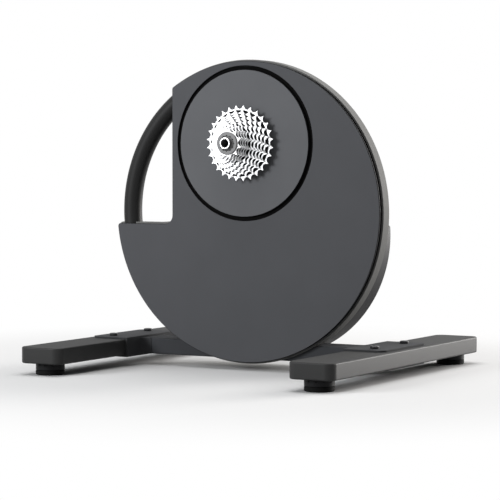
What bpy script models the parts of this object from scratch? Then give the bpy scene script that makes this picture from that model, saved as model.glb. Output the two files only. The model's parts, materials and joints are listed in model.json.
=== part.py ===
"""Direct-drive bicycle trainer: a notched disc body with a cassette, standing on two long legs.

Lengths are in metres. X runs forwards along the bicycle, Y runs from the drive side to the other
side, and Z is up. The origin is on the floor, in the middle of the footprint.
"""
import math

import bmesh
import bpy
from mathutils import Vector

# Gaps
FIT = 0.0003
SHARPEST = 0.0004
WELD = 0.000001
OVERLAP = 0.0004

# Smoothness of round shapes
DISC_STEPS = 48
RING_STEPS = 32
SHAFT_STEPS = 16
SMALL_STEPS = 10
CORNER_STEPS = 2

# Notched disc body
DISC_RADIUS = 0.23275
DISC_CLEARANCE = 0.01275
DISC_FACE_Y = -0.035
NOTCH_MARGIN = 0.0105
NOTCH_LEDGE_DROP = 0.0205
NOTCH_FILLET = 0.014
NOTCH_CORNER = 0.0045
COVER_THICKNESS = 0.003
COVER_EDGE = 0.0009
SHADOW_GAP = 0.006
SHADOW_DEPTH = 0.0045
BAND_WIDTH = 0.0163
BAND_PROUD = 0.00255
BAND_WALL = 0.00355

# Round panel over the drive pulley
PANEL_REACH = 0.009
PANEL_GROOVE = 0.0065
PANEL_MARGIN = 0.00715
PANEL_PROUD = 0.002
PANEL_EDGE = 0.0012
PANEL_HOLE_RADIUS = 0.0245
SEAL_LAP = 0.005
SEAL_THICKNESS = 0.002

# Casting
CASTING_PLATE = 0.0035
CASTING_WALL = 0.0067
HUB_BOSS_RADIUS = 0.026
HUB_BOSS_TIP_RADIUS = 0.0165
HUB_BOSS_END_Y = 0.0382
HUB_BOSS_STEP = 0.001
SHAFT_BOSS_WALL = 0.0055
SHAFT_BOSS_END_Y = 0.028
FOOT_BLOCK_LENGTH = 0.160
FOOT_BLOCK_FRONT_Y = -0.023
FOOT_BLOCK_BACK_Y = 0.0012
FOOT_BLOCK_HEIGHT = 0.016
PILLAR_RADIUS = 0.005
PANEL_BOSS_RADIUS = 0.0045
PANEL_BOSS_ANGLES = (35.0, 145.0, 270.0)
SOCKET_WALL = 0.003
SOCKET_DEPTH = 0.024
SOCKET_END_GAP = 0.001

# Rear cover: a shallow tray with a drum over the flywheel
REAR_WALL = 0.003
REAR_INSET = 0.01075
REAR_DEPTH = 0.0144
PASSAGE_LIP = 0.006
PASSAGE_DROP = 0.00375
DRUM_INSET = 0.03725
DRUM_CLEARANCE = 0.015
DRUM_RISE = 0.0005
DRUM_CORNER = 0.004
DRUM_BACK_Y = 0.0815
DRUM_EDGE = 0.003
VENT_COUNT = 7
VENT_HEIGHT = 0.004
VENT_PITCH = 0.014
VENT_REACH = 0.062

# Handle
HANDLE_TUBE_RADIUS = 0.0145
HANDLE_INSET = 0.01835
HANDLE_Y = -0.0165
HANDLE_INSERT = 0.021
HANDLE_STEPS = 16

# Axle and end caps
AXLE_BORE_RADIUS = 0.0061
AXLE_RADIUS = 0.0085
DROPOUT_WIDTH = 0.142
DRIVE_END_Y = -0.0946
END_CAP_LENGTH = 0.0063
END_CAP_RADIUS = 0.009
END_CAP_EDGE = 0.0006
END_CAP_SLOPE = 0.001
END_CAP_SLEEVE = 0.006
END_CAP_SLEEVE_RADIUS = 0.0112
FAR_CAP_LENGTH = 0.006
FAR_CAP_RADIUS = 0.014

# Drive pulley and its bearings
PULLEY_RADIUS = 0.104
PULLEY_RIM = 0.006
PULLEY_WEB = 0.004
PULLEY_FLANGE = 0.0025
PULLEY_HUB_RADIUS = 0.021
PULLEY_HUB_FRONT_Y = -0.043
PULLEY_HUB_BACK_Y = -0.0146
HUB_BEARING_RADIUS = 0.015
HUB_BEARING_WIDTH = 0.007

# Belt
BELT_FRONT_Y = -0.0298
BELT_WIDTH = 0.0115
BELT_THICKNESS = 0.0024
BELT_SLACK = 0.0007

# Flywheel, its shaft and bearings
SHAFT_RADIUS = 0.0075
SHAFT_FRONT_Y = -0.0312
SHAFT_BACK_Y = 0.0675
SHAFT_PULLEY_RADIUS = 0.016
SHAFT_BEARING_RADIUS = 0.0175
SHAFT_BEARING_WIDTH = 0.011
FLYWHEEL_RADIUS = 0.096
FLYWHEEL_GAP = 0.0095
FLYWHEEL_FRONT_Y = 0.036
FLYWHEEL_WIDTH = 0.030
FLYWHEEL_RIM = 0.036
FLYWHEEL_WEB = 0.012
FLYWHEEL_HUB_RADIUS = 0.022

# Magnetic brake
BRAKE_RADIUS = 0.078
BRAKE_PITCH = 0.044
BRAKE_BASE = 0.006
BRAKE_BASE_WIDTH = 0.032
BRAKE_BASE_LENGTH = 0.088
POLE_WIDTH = 0.014
POLE_LENGTH = 0.020
POLE_GAP = 0.001
POLE_CORNER = 0.002
COIL_WALL = 0.008
COIL_DEPTH = 0.026
COIL_CORNER = 0.004

# Belt tensioner
IDLER_RADIUS = 0.012
IDLER_PIN_RADIUS = 0.004
IDLER_PLACE = 0.5
ARM_LENGTH = 0.042
ARM_WIDTH = 0.017
ARM_THICKNESS = 0.003
ARM_BACK_Y = -0.0144
PIVOT_RADIUS = 0.004
PIVOT_HEAD_RADIUS = 0.0065
PIVOT_HEAD = 0.003
PIVOT_BOSS_RADIUS = 0.007
PIVOT_GRIP = 0.006

# Sprockets on the freehub
TEETH = (28, 25, 23, 21, 19, 17, 15, 14, 13, 12, 11)
CLUSTER_COUNT = 5
CHAIN_PITCH = 0.0127
TOOTH_RISE = 0.0024
TOOTH_DEPTH = 0.0063
COG_SPACING = 0.00374
COG_THICKNESS = 0.0016
LARGEST_COG_Y = -0.0477
SEAT_RADIUS = 0.017
SPACER_WALL = 0.0032
CARRIER_WALL = 0.0065
CARRIER_LAP = 0.002
FREEHUB_FLANGE = 0.0031
FREEHUB_FLANGE_RADIUS = 0.021
FREEHUB_BUSH_LENGTH = 0.0165
FREEHUB_BEARING_RADIUS = 0.013
FREEHUB_BEARING_WIDTH = 0.007
BEARING_LEDGE = 0.002
FREEHUB_THREAD_RADIUS = 0.0153
FREEHUB_THREAD_DEPTH = 0.0065
LOCKRING_RADIUS = 0.0175
LOCKRING_FLANGE = 0.002
LOCKRING_EDGE = 0.0005
LOCKRING_BORE_RADIUS = 0.0116

# Base beam
BEAM_CENTRE_Y = 0.003
BEAM_DEPTH = 0.054
BEAM_BOTTOM = 0.0175
BEAM_TOP = 0.043
BEAM_EDGE = 0.0025
BEAM_BOLT_SPREAD = 0.060
BEAM_BOLT_Y = -0.011
BEAM_BOLT_RADIUS = 0.004
BEAM_BOLT_GRIP = 0.010

# Legs
LEG_CENTRE_X = 0.2315
LEG_WIDTH = 0.074
LEG_LENGTH = 0.513
LEG_BOTTOM = 0.018
LEG_TOP = 0.043
LEG_CORNER = 0.014
LEG_EDGE = 0.0025
LEG_SKIN = 0.004
LEG_RIB = 0.004
POCKET_LENGTH = 0.052
POCKET_START = 0.092

# Saddles that hold the legs
SADDLE_LENGTH = 0.150
SADDLE_PLATE = 0.0025
SADDLE_WALL = 0.0032
SADDLE_REACH = 0.0675
SADDLE_NECK = 0.015
SADDLE_FILLET = 0.014
SADDLE_EDGE = 0.0006
SCREW_SPREAD = 0.051
SCREW_OFFSET_X = 0.0
SCREW_HEAD_RADIUS = 0.007
SCREW_HEAD = 0.004
SCREW_CHAMFER = 0.0015
SCREW_RADIUS = 0.003
SCREW_LENGTH = 0.020
HEX_RADIUS = 0.003
HEX_DEPTH = 0.0022

# Feet under the legs
FOOT_INSET = 0.0315
FOOT_RADIUS = 0.022
PAD_HEIGHT = 0.0072
PAD_CHAMFER = 0.0012
KNOB_NOTCHES = 12
NOTCH_DEPTH = 0.0014
NOTCH_HEIGHT = 0.004
STUD_RADIUS = 0.004
STUD_LENGTH = 0.018

# Screws of the rear cover
COVER_SCREW_RADIUS = 0.002
COVER_SCREW_HEAD_RADIUS = 0.0042
COVER_SCREW_HEAD = 0.0024
COVER_SCREW_GRIP = 0.008
COVER_SCREW_CHAMFER = 0.0006
UPPER_SCREW_INSET = 0.03275
UPPER_SCREW_ANGLES = (80.0,)
LOWER_SCREW_GAP = 0.014
LOWER_SCREW_DROP = 0.0385

# Control board and power inlet
BOARD_INSET = 0.063
BOARD_DROP = 0.0405
BOARD_WIDTH = 0.064
BOARD_HEIGHT = 0.070
BOARD_THICKNESS = 0.0016
BOARD_STANDOFF = 0.0045
BOARD_POST_RADIUS = 0.0035
BOARD_POST_INSET = 0.006
COMPONENT_WIDTH = 0.020
COMPONENT_HEIGHT = 0.016
COMPONENT_DEPTH = 0.007
COMPONENT_PITCH = 0.030
INLET_INSET = 0.0475
INLET_DROP = 0.0505
INLET_RADIUS = 0.0080
INLET_FLANGE_RADIUS = 0.0105
INLET_FLANGE = 0.0014
INLET_DEPTH = 0.016
INLET_BORE_RADIUS = 0.0066
INLET_BORE_DEPTH = 0.012
INLET_PIN_RADIUS = 0.0011
INLET_PIN_DROP = 0.001

# Places that follow from the sizes above
PANEL_RADIUS = PULLEY_RADIUS + PANEL_REACH
FOOT_SPREAD_Y = LEG_LENGTH / 2 - FOOT_INSET
GROOVE_RADIUS = PANEL_RADIUS + PANEL_GROOVE
DISC_HEIGHT = DISC_RADIUS + DISC_CLEARANCE
AXLE_HEIGHT = DISC_HEIGHT + DISC_RADIUS - PANEL_MARGIN - GROOVE_RADIUS
NOTCH_WALL_X = -GROOVE_RADIUS - NOTCH_MARGIN
HANDLE_ARC_RADIUS = DISC_RADIUS - HANDLE_INSET
DRUM_RADIUS = DISC_RADIUS - DRUM_INSET
DRUM_CENTRE_HEIGHT = DRUM_RADIUS + DRUM_CLEARANCE
DRUM_TOP_HEIGHT = DISC_HEIGHT - NOTCH_LEDGE_DROP + DRUM_RISE
PASSAGE_TOP = DISC_HEIGHT - NOTCH_LEDGE_DROP - REAR_INSET - REAR_WALL - PASSAGE_DROP
SHAFT_HEIGHT = DRUM_CLEARANCE + REAR_WALL + FLYWHEEL_GAP + FLYWHEEL_RADIUS
UPPER_SCREW_RADIUS = DISC_RADIUS - UPPER_SCREW_INSET
LOWER_SCREW_X = FLYWHEEL_RADIUS + PILLAR_RADIUS + LOWER_SCREW_GAP
LOWER_SCREW_HEIGHT = SHAFT_HEIGHT - LOWER_SCREW_DROP
BOARD_CENTRE_X = DRUM_RADIUS - BOARD_INSET
BOARD_CENTRE_HEIGHT = DRUM_CENTRE_HEIGHT - BOARD_DROP
INLET_X = INLET_INSET - DRUM_RADIUS
INLET_HEIGHT = DRUM_CENTRE_HEIGHT - INLET_DROP
COVER_BACK_Y = DISC_FACE_Y + COVER_THICKNESS
BAND_FRONT_Y = COVER_BACK_Y + SHADOW_GAP
BAND_BACK_Y = BAND_FRONT_Y + BAND_WIDTH
BAND_INNER = BAND_PROUD - BAND_WALL
CASTING_OUTER = BAND_INNER - FIT
CASTING_INNER = CASTING_OUTER - CASTING_WALL
PLATE_FRONT_Y = BAND_BACK_Y - CASTING_PLATE
PANEL_FRONT_Y = DISC_FACE_Y - PANEL_PROUD
SEAL_FRONT_Y = COVER_BACK_Y + FIT
SEAL_BACK_Y = SEAL_FRONT_Y + SEAL_THICKNESS
SEAL_OUTER_RADIUS = GROOVE_RADIUS + SEAL_LAP
SEAL_INNER_RADIUS = PANEL_RADIUS - SEAL_LAP
TRAY_FRONT_Y = BAND_BACK_Y + FIT
TRAY_BACK_Y = TRAY_FRONT_Y + REAR_DEPTH
TRAY_FLOOR_Y = TRAY_BACK_Y - REAR_WALL
DRUM_FLOOR_Y = DRUM_BACK_Y - REAR_WALL
BEAM_FRONT_Y = BEAM_CENTRE_Y - BEAM_DEPTH / 2
BEAM_BACK_Y = BEAM_CENTRE_Y + BEAM_DEPTH / 2
SADDLE_INNER_X = LEG_CENTRE_X - LEG_WIDTH / 2 - FIT - SADDLE_WALL
BEAM_END_X = SADDLE_INNER_X - SADDLE_NECK - FIT
AXLE_FRONT_Y = DRIVE_END_Y + END_CAP_LENGTH + FIT
FAR_END_Y = DRIVE_END_Y + DROPOUT_WIDTH
AXLE_BACK_Y = FAR_END_Y - FAR_CAP_LENGTH - FIT
PULLEY_RIM_FRONT_Y = BELT_FRONT_Y
PULLEY_RIM_BACK_Y = BELT_FRONT_Y + BELT_WIDTH + PULLEY_FLANGE
FREEHUB_BACK_Y = PULLEY_HUB_FRONT_Y - FIT
SMALLEST_COG_Y = LARGEST_COG_Y - COG_SPACING * (len(TEETH) - 1)
LOCKRING_BACK_Y = SMALLEST_COG_Y - COG_THICKNESS / 2 - FIT
FREEHUB_FRONT_Y = LOCKRING_BACK_Y + FIT
KNOB_BOTTOM = PAD_HEIGHT + FIT
KNOB_TOP = LEG_BOTTOM - FIT
BOARD_FRONT_Y = BAND_BACK_Y + BOARD_STANDOFF + FIT
BRAKE_BASE_BACK_Y = BAND_BACK_Y + FIT + BRAKE_BASE
IDLER_BACK_Y = ARM_BACK_Y - ARM_THICKNESS - FIT

PARTS = bpy.data.collections.new("bicycle_trainer")
CUTTERS = bpy.data.collections.new("cutters")


def clear_scene():
    """Start from an empty scene with one collection for the pieces and one for the cutters."""
    for item in list(bpy.data.objects):
        bpy.data.objects.remove(item, do_unlink=True)
    bpy.context.scene.collection.children.link(PARTS)
    bpy.context.scene.collection.children.link(CUTTERS)


def arc(centre, radius, start, end, steps):
    """Points along an arc, from the start angle to the end angle in degrees."""
    points = []
    for step in range(steps + 1):
        angle = math.radians(start + (end - start) * step / steps)
        points.append((centre[0] + radius * math.cos(angle), centre[1] + radius * math.sin(angle)))
    return points


def circle(radius, steps, centre=(0.0, 0.0)):
    """A closed round outline, anticlockwise."""
    return arc(centre, radius, 0.0, 360.0, steps)[:-1]


def rounded_box(half_width, half_height, corner, centre=(0.0, 0.0)):
    """A closed rectangle with round corners, anticlockwise."""
    points = []
    for index, (side_x, side_y) in enumerate(((1, 1), (-1, 1), (-1, -1), (1, -1))):
        corner_x = centre[0] + side_x * (half_width - corner)
        corner_y = centre[1] + side_y * (half_height - corner)
        points += arc((corner_x, corner_y), corner, 90.0 * index, 90.0 * (index + 1), CORNER_STEPS)
    return points


def rectangle(half_width, half_height, x, y):
    """A closed rectangle with sharp corners, anticlockwise."""
    signs = ((1, 1), (-1, 1), (-1, -1), (1, -1))
    return [(x + across * half_width, y + up * half_height) for across, up in signs]


def body_outline(offset):
    """Outline of the notched disc in X and Z, grown outwards by the offset."""
    radius = DISC_RADIUS + offset
    corner = max(NOTCH_CORNER + offset, SHARPEST)
    fillet = max(NOTCH_FILLET - offset, SHARPEST)
    wall_x = NOTCH_WALL_X - offset
    ledge = offset - NOTCH_LEDGE_DROP
    left_z = ledge - corner
    left_x = -math.sqrt((radius - corner) ** 2 - left_z ** 2)
    left_angle = math.degrees(math.atan2(left_z, left_x)) % 360.0
    top_x = wall_x + corner
    top_z = math.sqrt((radius - corner) ** 2 - top_x ** 2)
    top_angle = math.degrees(math.atan2(top_z, top_x))
    points = arc((0.0, 0.0), radius, left_angle, 360.0 + top_angle, DISC_STEPS)
    points += arc((top_x, top_z), corner, top_angle, 180.0, CORNER_STEPS)[1:]
    points += arc((wall_x - fillet, ledge + fillet), fillet, 0.0, -90.0, CORNER_STEPS + 2)
    points += arc((left_x, left_z), corner, 90.0, left_angle, CORNER_STEPS)[:-1]
    return [(x, z + DISC_HEIGHT) for x, z in points]


def drum_outline(inset):
    """Outline of the flywheel drum: a circle cut flat at the top, with rounded corners."""
    radius = DRUM_RADIUS - inset
    corner = max(DRUM_CORNER - inset, SHARPEST)
    corner_z = DRUM_TOP_HEIGHT - DRUM_CENTRE_HEIGHT - inset - corner
    corner_x = math.sqrt((radius - corner) ** 2 - corner_z ** 2)
    angle = math.degrees(math.atan2(corner_z, corner_x))
    points = arc((0.0, 0.0), radius, -180.0 - angle, angle, DISC_STEPS // 2)
    points += arc((corner_x, corner_z), corner, angle, 90.0, CORNER_STEPS)[1:]
    points += arc((-corner_x, corner_z), corner, 90.0, 180.0 - angle, CORNER_STEPS)[:-1]
    return [(x, z + DRUM_CENTRE_HEIGHT) for x, z in points]


def reverse(points):
    """The same outline the other way round, as a hole needs it."""
    return list(reversed(points))


def finish(piece, colour, roughness, metallic):
    """Give the piece its own material and shade its round sides smooth."""
    material = bpy.data.materials.new(piece.name)
    material.use_nodes = True
    shader = material.node_tree.nodes["Principled BSDF"]
    shader.inputs["Base Color"].default_value = (*colour, 1.0)
    shader.inputs["Roughness"].default_value = roughness
    shader.inputs["Metallic"].default_value = metallic
    piece.data.materials.clear()
    piece.data.materials.append(material)
    piece.data.shade_smooth()
    piece.data.set_sharp_from_angle(angle=math.radians(35.0))
    return piece


def graphite_coat(piece):
    return finish(piece, (0.094, 0.097, 0.105), 0.5, 0.3)


def panel_coat(piece):
    return finish(piece, (0.127, 0.130, 0.138), 0.5, 0.3)


def black_coat(piece):
    return finish(piece, (0.045, 0.046, 0.050), 0.55, 0.2)


def silver_coat(piece):
    return finish(piece, (0.25, 0.25, 0.25), 0.4, 0.8)


def grey_coat(piece):
    return finish(piece, (0.10, 0.10, 0.11), 0.5, 0.4)


def black_plastic(piece):
    return finish(piece, (0.02, 0.02, 0.022), 0.6, 0.0)


def black_rubber(piece):
    return finish(piece, (0.015, 0.015, 0.015), 0.85, 0.0)


def bright_steel(piece):
    return finish(piece, (0.62, 0.62, 0.63), 0.25, 1.0)


def grey_steel(piece):
    return finish(piece, (0.30, 0.30, 0.31), 0.35, 1.0)


def black_steel(piece):
    return finish(piece, (0.03, 0.03, 0.032), 0.4, 0.7)


def cast_alloy(piece):
    return finish(piece, (0.35, 0.35, 0.36), 0.5, 0.9)


def copper_wire(piece):
    return finish(piece, (0.55, 0.26, 0.12), 0.4, 0.9)


def board_green(piece):
    return finish(piece, (0.02, 0.12, 0.05), 0.5, 0.0)


def as_mesh(source, name):
    """Turn a curve object into a mesh object at the same place, with its caps welded on."""
    PARTS.objects.link(source)
    bpy.context.view_layer.update()
    graph = bpy.context.evaluated_depsgraph_get()
    mesh = bpy.data.meshes.new_from_object(source.evaluated_get(graph))
    shape = bmesh.new()
    shape.from_mesh(mesh)
    bmesh.ops.remove_doubles(shape, verts=shape.verts, dist=WELD)
    shape.to_mesh(mesh)
    shape.free()
    place = source.matrix_world.copy()
    bpy.data.objects.remove(source, do_unlink=True)
    piece = bpy.data.objects.new(name, mesh)
    PARTS.objects.link(piece)
    piece.matrix_world = place
    return piece


def flat_curve(name, loops, thickness, edge):
    """A filled flat curve with half the thickness on each side and an optional chamfer."""
    curve = bpy.data.curves.new(name, "CURVE")
    curve.dimensions = "2D"
    curve.fill_mode = "BOTH"
    curve.extrude = thickness / 2 - edge
    curve.bevel_depth = edge
    curve.bevel_resolution = 0
    curve.offset = -edge
    for loop in loops:
        spline = curve.splines.new("POLY")
        spline.points.add(len(loop) - 1)
        for point, place in zip(spline.points, loop):
            point.co = (place[0], place[1], 0.0, 1.0)
        spline.use_cyclic_u = True
    return bpy.data.objects.new(name, curve)


def plate(name, loops, front, back, centre=(0.0, 0.0), edge=0.0):
    """A flat piece in X and Z, as deep along Y as from front to back."""
    flat = flat_curve(name, loops, back - front, edge)
    flat.rotation_euler.x = math.pi / 2
    flat.location = (centre[0], (front + back) / 2, centre[1])
    return as_mesh(flat, name)


def slab(name, loops, bottom, top, centre=(0.0, 0.0), edge=0.0):
    """A flat piece in X and Y, as high as from bottom to top."""
    flat = flat_curve(name, loops, top - bottom, edge)
    flat.location = (centre[0], centre[1], (bottom + top) / 2)
    return as_mesh(flat, name)


def turned(name, profile, centre, along_y, steps, ring):
    """A profile of radius and place, run down its outer side, and turned about Y or Z.

    The centre is X and Z for a piece about Y, and X and Y for one about Z. A ring closes its
    profile, and any other piece starts and ends on the axis.
    """
    mesh = bpy.data.meshes.new(name)
    sign = -1.0 if along_y else 1.0
    points = [(radius, 0.0, sign * place) for radius, place in profile]
    edges = [(index, index + 1) for index in range(len(points) - 1)]
    if ring:
        edges.append((len(points) - 1, 0))
    mesh.from_pydata(points, edges, [])
    piece = bpy.data.objects.new(name, mesh)
    PARTS.objects.link(piece)
    if along_y:
        piece.rotation_euler.x = math.pi / 2
        piece.location = (centre[0], 0.0, centre[1])
    else:
        piece.location = (centre[0], centre[1], 0.0)
    screw = piece.modifiers.new("turn", "SCREW")
    screw.steps = steps
    screw.render_steps = steps
    screw.use_merge_vertices = True
    screw.merge_threshold = 0.00001
    bpy.context.view_layer.update()
    return piece


def ring_profile(outer, inner, first, last):
    """A plain tube section: outer side first, then back along the bore."""
    return [(outer, first), (outer, last), (inner, last), (inner, first)]


def rod_profile(radius, first, last):
    """A plain rod section."""
    return [(0.0, first), (radius, first), (radius, last), (0.0, last)]


def bore(radius, first, last, centre, steps):
    """A round cutter along Y, with the radius at its flats and its corners off its boss's."""
    corner_radius = radius / math.cos(math.pi / steps)
    tool = turned("bore", rod_profile(corner_radius, first, last), centre, True, steps, False)
    tool.rotation_euler.y = math.pi / (2 * steps)
    return tool


def box(name, low, high, edge=0.0):
    """A block between two corners, with an optional chamfer."""
    mesh = bpy.data.meshes.new(name)
    shape = bmesh.new()
    bmesh.ops.create_cube(shape, size=1.0)
    size = Vector(high) - Vector(low)
    bmesh.ops.scale(shape, vec=size, verts=shape.verts)
    shape.to_mesh(mesh)
    shape.free()
    piece = bpy.data.objects.new(name, mesh)
    PARTS.objects.link(piece)
    piece.location = (Vector(low) + Vector(high)) / 2
    if edge > 0.0:
        bevel = piece.modifiers.new("edge", "BEVEL")
        bevel.width = edge
        bevel.segments = 1
    bpy.context.view_layer.update()
    return piece


def as_tool(piece):
    """Put a piece aside as a cutter or as a shape to join."""
    PARTS.objects.unlink(piece)
    CUTTERS.objects.link(piece)
    piece.hide_render = True
    piece.display_type = "WIRE"
    return piece


def combine(piece, tools, operation):
    """Cut the tools out of a piece, join them to it, or keep what they share."""
    for tool in tools:
        modifier = piece.modifiers.new(operation.lower(), "BOOLEAN")
        modifier.operation = operation
        modifier.object = as_tool(tool)
    return piece


def cut(piece, *tools):
    return combine(piece, tools, "DIFFERENCE")


def join(piece, *tools):
    return combine(piece, tools, "UNION")


def clip(piece, *tools):
    return combine(piece, tools, "INTERSECT")


def handle_curve(name, radius, first_angle, last_angle):
    """A round tube along the handle's arc, between two angles about the disc's centre."""
    curve = bpy.data.curves.new(name, "CURVE")
    curve.dimensions = "3D"
    curve.bevel_depth = radius
    curve.bevel_resolution = 2
    curve.use_fill_caps = True
    spline = curve.splines.new("POLY")
    path = arc((0.0, DISC_HEIGHT), HANDLE_ARC_RADIUS, first_angle, last_angle, HANDLE_STEPS)
    spline.points.add(len(path) - 1)
    for point, place in zip(spline.points, path):
        point.co = (place[0], HANDLE_Y, place[1], 1.0)
    return as_mesh(bpy.data.objects.new(name, curve), name)


def handle_angles(insert):
    """The angles at which the handle ends, that far inside the notch's two walls."""
    extra = math.degrees(insert / HANDLE_ARC_RADIUS)
    wall_angle = math.degrees(math.acos(NOTCH_WALL_X / HANDLE_ARC_RADIUS))
    ledge_angle = 180.0 + math.degrees(math.asin(NOTCH_LEDGE_DROP / HANDLE_ARC_RADIUS))
    return wall_angle - extra, ledge_angle + extra


def beam_clearance(name, reach_x, low_y, high_y, margin):
    """The space under and around the beam that the body keeps free."""
    low = (-reach_x, low_y, 0.0)
    high = (reach_x, high_y + margin, BEAM_TOP + FIT + margin)
    return box(name, low, high)


def make_base_beam():
    """Steel beam across the base, with two counterbored holes for the casting's bolts."""
    half = BEAM_END_X
    low = (-half, BEAM_FRONT_Y, BEAM_BOTTOM)
    high = (half, BEAM_BACK_Y, BEAM_TOP)
    beam = box("base_beam", low, high, BEAM_EDGE)
    for side in (-1, 1):
        head = SCREW_HEAD_RADIUS + FIT
        seat = BEAM_BOTTOM + SCREW_HEAD + FIT
        hole = BEAM_BOLT_RADIUS + FIT
        profile = [(0.0, BEAM_TOP + OVERLAP), (hole, BEAM_TOP + OVERLAP), (hole, seat),
                   (head, seat), (head, BEAM_BOTTOM - OVERLAP), (0.0, BEAM_BOTTOM - OVERLAP)]
        place = (side * BEAM_BOLT_SPREAD, BEAM_BOLT_Y)
        cut(beam, turned("bolt_hole", profile, place, False, SMALL_STEPS, False))
    return black_coat(beam)


def make_beam_bolt(index, side):
    """Bolt from under the beam up into the casting's foot block."""
    top = BEAM_TOP + FIT + BEAM_BOLT_GRIP
    seat = BEAM_BOTTOM + SCREW_HEAD
    bottom = BEAM_BOTTOM + FIT
    profile = [(0.0, top), (BEAM_BOLT_RADIUS, top), (BEAM_BOLT_RADIUS, seat),
               (SCREW_HEAD_RADIUS, seat), (SCREW_HEAD_RADIUS, bottom), (0.0, bottom)]
    place = (side * BEAM_BOLT_SPREAD, BEAM_BOLT_Y)
    bolt = turned(f"beam_bolt_{index}", profile, place, False, SMALL_STEPS, False)
    socket = circle(HEX_RADIUS, 6)
    cut(bolt, slab("bolt_socket", [socket], bottom - HEX_DEPTH, bottom + HEX_DEPTH, place))
    return black_steel(bolt)


def make_saddle(name, side):
    """Channel that wraps a leg's middle, with a filleted neck towards the beam."""
    inner = SADDLE_INNER_X
    wall = inner + SADDLE_WALL
    outer = inner + SADDLE_REACH
    low = LEG_BOTTOM - FIT
    high = LEG_TOP + FIT
    section = [(inner, low - SADDLE_PLATE), (outer, low - SADDLE_PLATE), (outer, low),
               (wall, low), (wall, high), (outer, high),
               (outer, high + SADDLE_PLATE), (inner, high + SADDLE_PLATE)]
    if side < 0:
        section = reverse([(-x, z) for x, z in section])
    front = BEAM_CENTRE_Y - SADDLE_LENGTH / 2
    back = BEAM_CENTRE_Y + SADDLE_LENGTH / 2
    saddle = plate(name, [section], front, back, edge=SADDLE_EDGE)
    half = BEAM_DEPTH / 2
    start = inner - SADDLE_NECK
    bend = inner - SADDLE_FILLET
    neck = arc((bend, -half - SADDLE_FILLET), SADDLE_FILLET, 90.0, 0.0, CORNER_STEPS + 1)
    neck += [(inner + OVERLAP, -half - SADDLE_FILLET), (inner + OVERLAP, half + SADDLE_FILLET)]
    neck += arc((bend, half + SADDLE_FILLET), SADDLE_FILLET, 0.0, -90.0, CORNER_STEPS + 1)
    neck += [(start, half), (start, -half)]
    if side < 0:
        neck = reverse([(-x, y) for x, y in neck])
    join(saddle, slab("neck", [neck], BEAM_BOTTOM, BEAM_TOP, (0.0, BEAM_CENTRE_Y)))
    for place in screw_places(side):
        hole = circle(SCREW_RADIUS + FIT, SMALL_STEPS)
        top = high + SADDLE_PLATE + OVERLAP
        cut(saddle, slab("screw_hole", [hole], high - OVERLAP, top, place))
    return grey_coat(saddle)


def screw_places(side):
    """Where the two screws of a saddle stand, in X and Y."""
    x = side * (LEG_CENTRE_X + SCREW_OFFSET_X)
    return [(x, BEAM_CENTRE_Y - SCREW_SPREAD), (x, BEAM_CENTRE_Y + SCREW_SPREAD)]


def make_saddle_screw(index, place):
    """Socket-head screw with a domed rim, through the saddle into the leg."""
    seat = LEG_TOP + FIT + SADDLE_PLATE + FIT
    top = seat + SCREW_HEAD
    shoulder = SCREW_HEAD_RADIUS - SCREW_CHAMFER
    profile = [(0.0, top), (shoulder, top), (SCREW_HEAD_RADIUS, top - SCREW_CHAMFER),
               (SCREW_HEAD_RADIUS, seat), (SCREW_RADIUS, seat),
               (SCREW_RADIUS, seat - SCREW_LENGTH), (0.0, seat - SCREW_LENGTH)]
    screw = turned(f"saddle_screw_{index}", profile, place, False, SMALL_STEPS, False)
    socket = circle(HEX_RADIUS, 6)
    cut(screw, slab("screw_socket", [socket], top - HEX_DEPTH, top + HEX_DEPTH, place))
    return black_steel(screw)


def make_leg(name, side):
    """Cast leg with rounded ends, ribbed pockets below, and holes for its screws and feet."""
    centre = (side * LEG_CENTRE_X, 0.0)
    outline = rounded_box(LEG_WIDTH / 2, LEG_LENGTH / 2, LEG_CORNER)
    leg = slab(name, [outline], LEG_BOTTOM, LEG_TOP, centre, LEG_EDGE)
    pocket_width = (LEG_WIDTH - 2 * LEG_SKIN - LEG_RIB) / 2
    pockets = []
    for end in (-1, 1):
        for row in range(2):
            start = POCKET_START + row * (POCKET_LENGTH + LEG_RIB)
            middle_y = end * (start + POCKET_LENGTH / 2)
            for across in (-1, 1):
                middle_x = across * (LEG_RIB + pocket_width) / 2
                pockets.append(rectangle(pocket_width / 2, POCKET_LENGTH / 2, middle_x, middle_y))
    cut(leg, slab("pockets", pockets, LEG_BOTTOM - OVERLAP, LEG_TOP - LEG_SKIN, centre))
    holes = [circle(SCREW_RADIUS + FIT, SMALL_STEPS, (x, y)) for x, y in screw_places(side)]
    hole_bottom = LEG_TOP + SADDLE_PLATE - SCREW_LENGTH - FIT
    cut(leg, slab("screw_holes", holes, hole_bottom, LEG_TOP + OVERLAP))
    studs = [circle(STUD_RADIUS + FIT, SMALL_STEPS, (side * LEG_CENTRE_X, end * FOOT_SPREAD_Y))
             for end in (-1, 1)]
    stud_top = KNOB_TOP + STUD_LENGTH + FIT
    cut(leg, slab("stud_holes", studs, LEG_BOTTOM - OVERLAP, stud_top))
    return grey_coat(leg)


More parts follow.
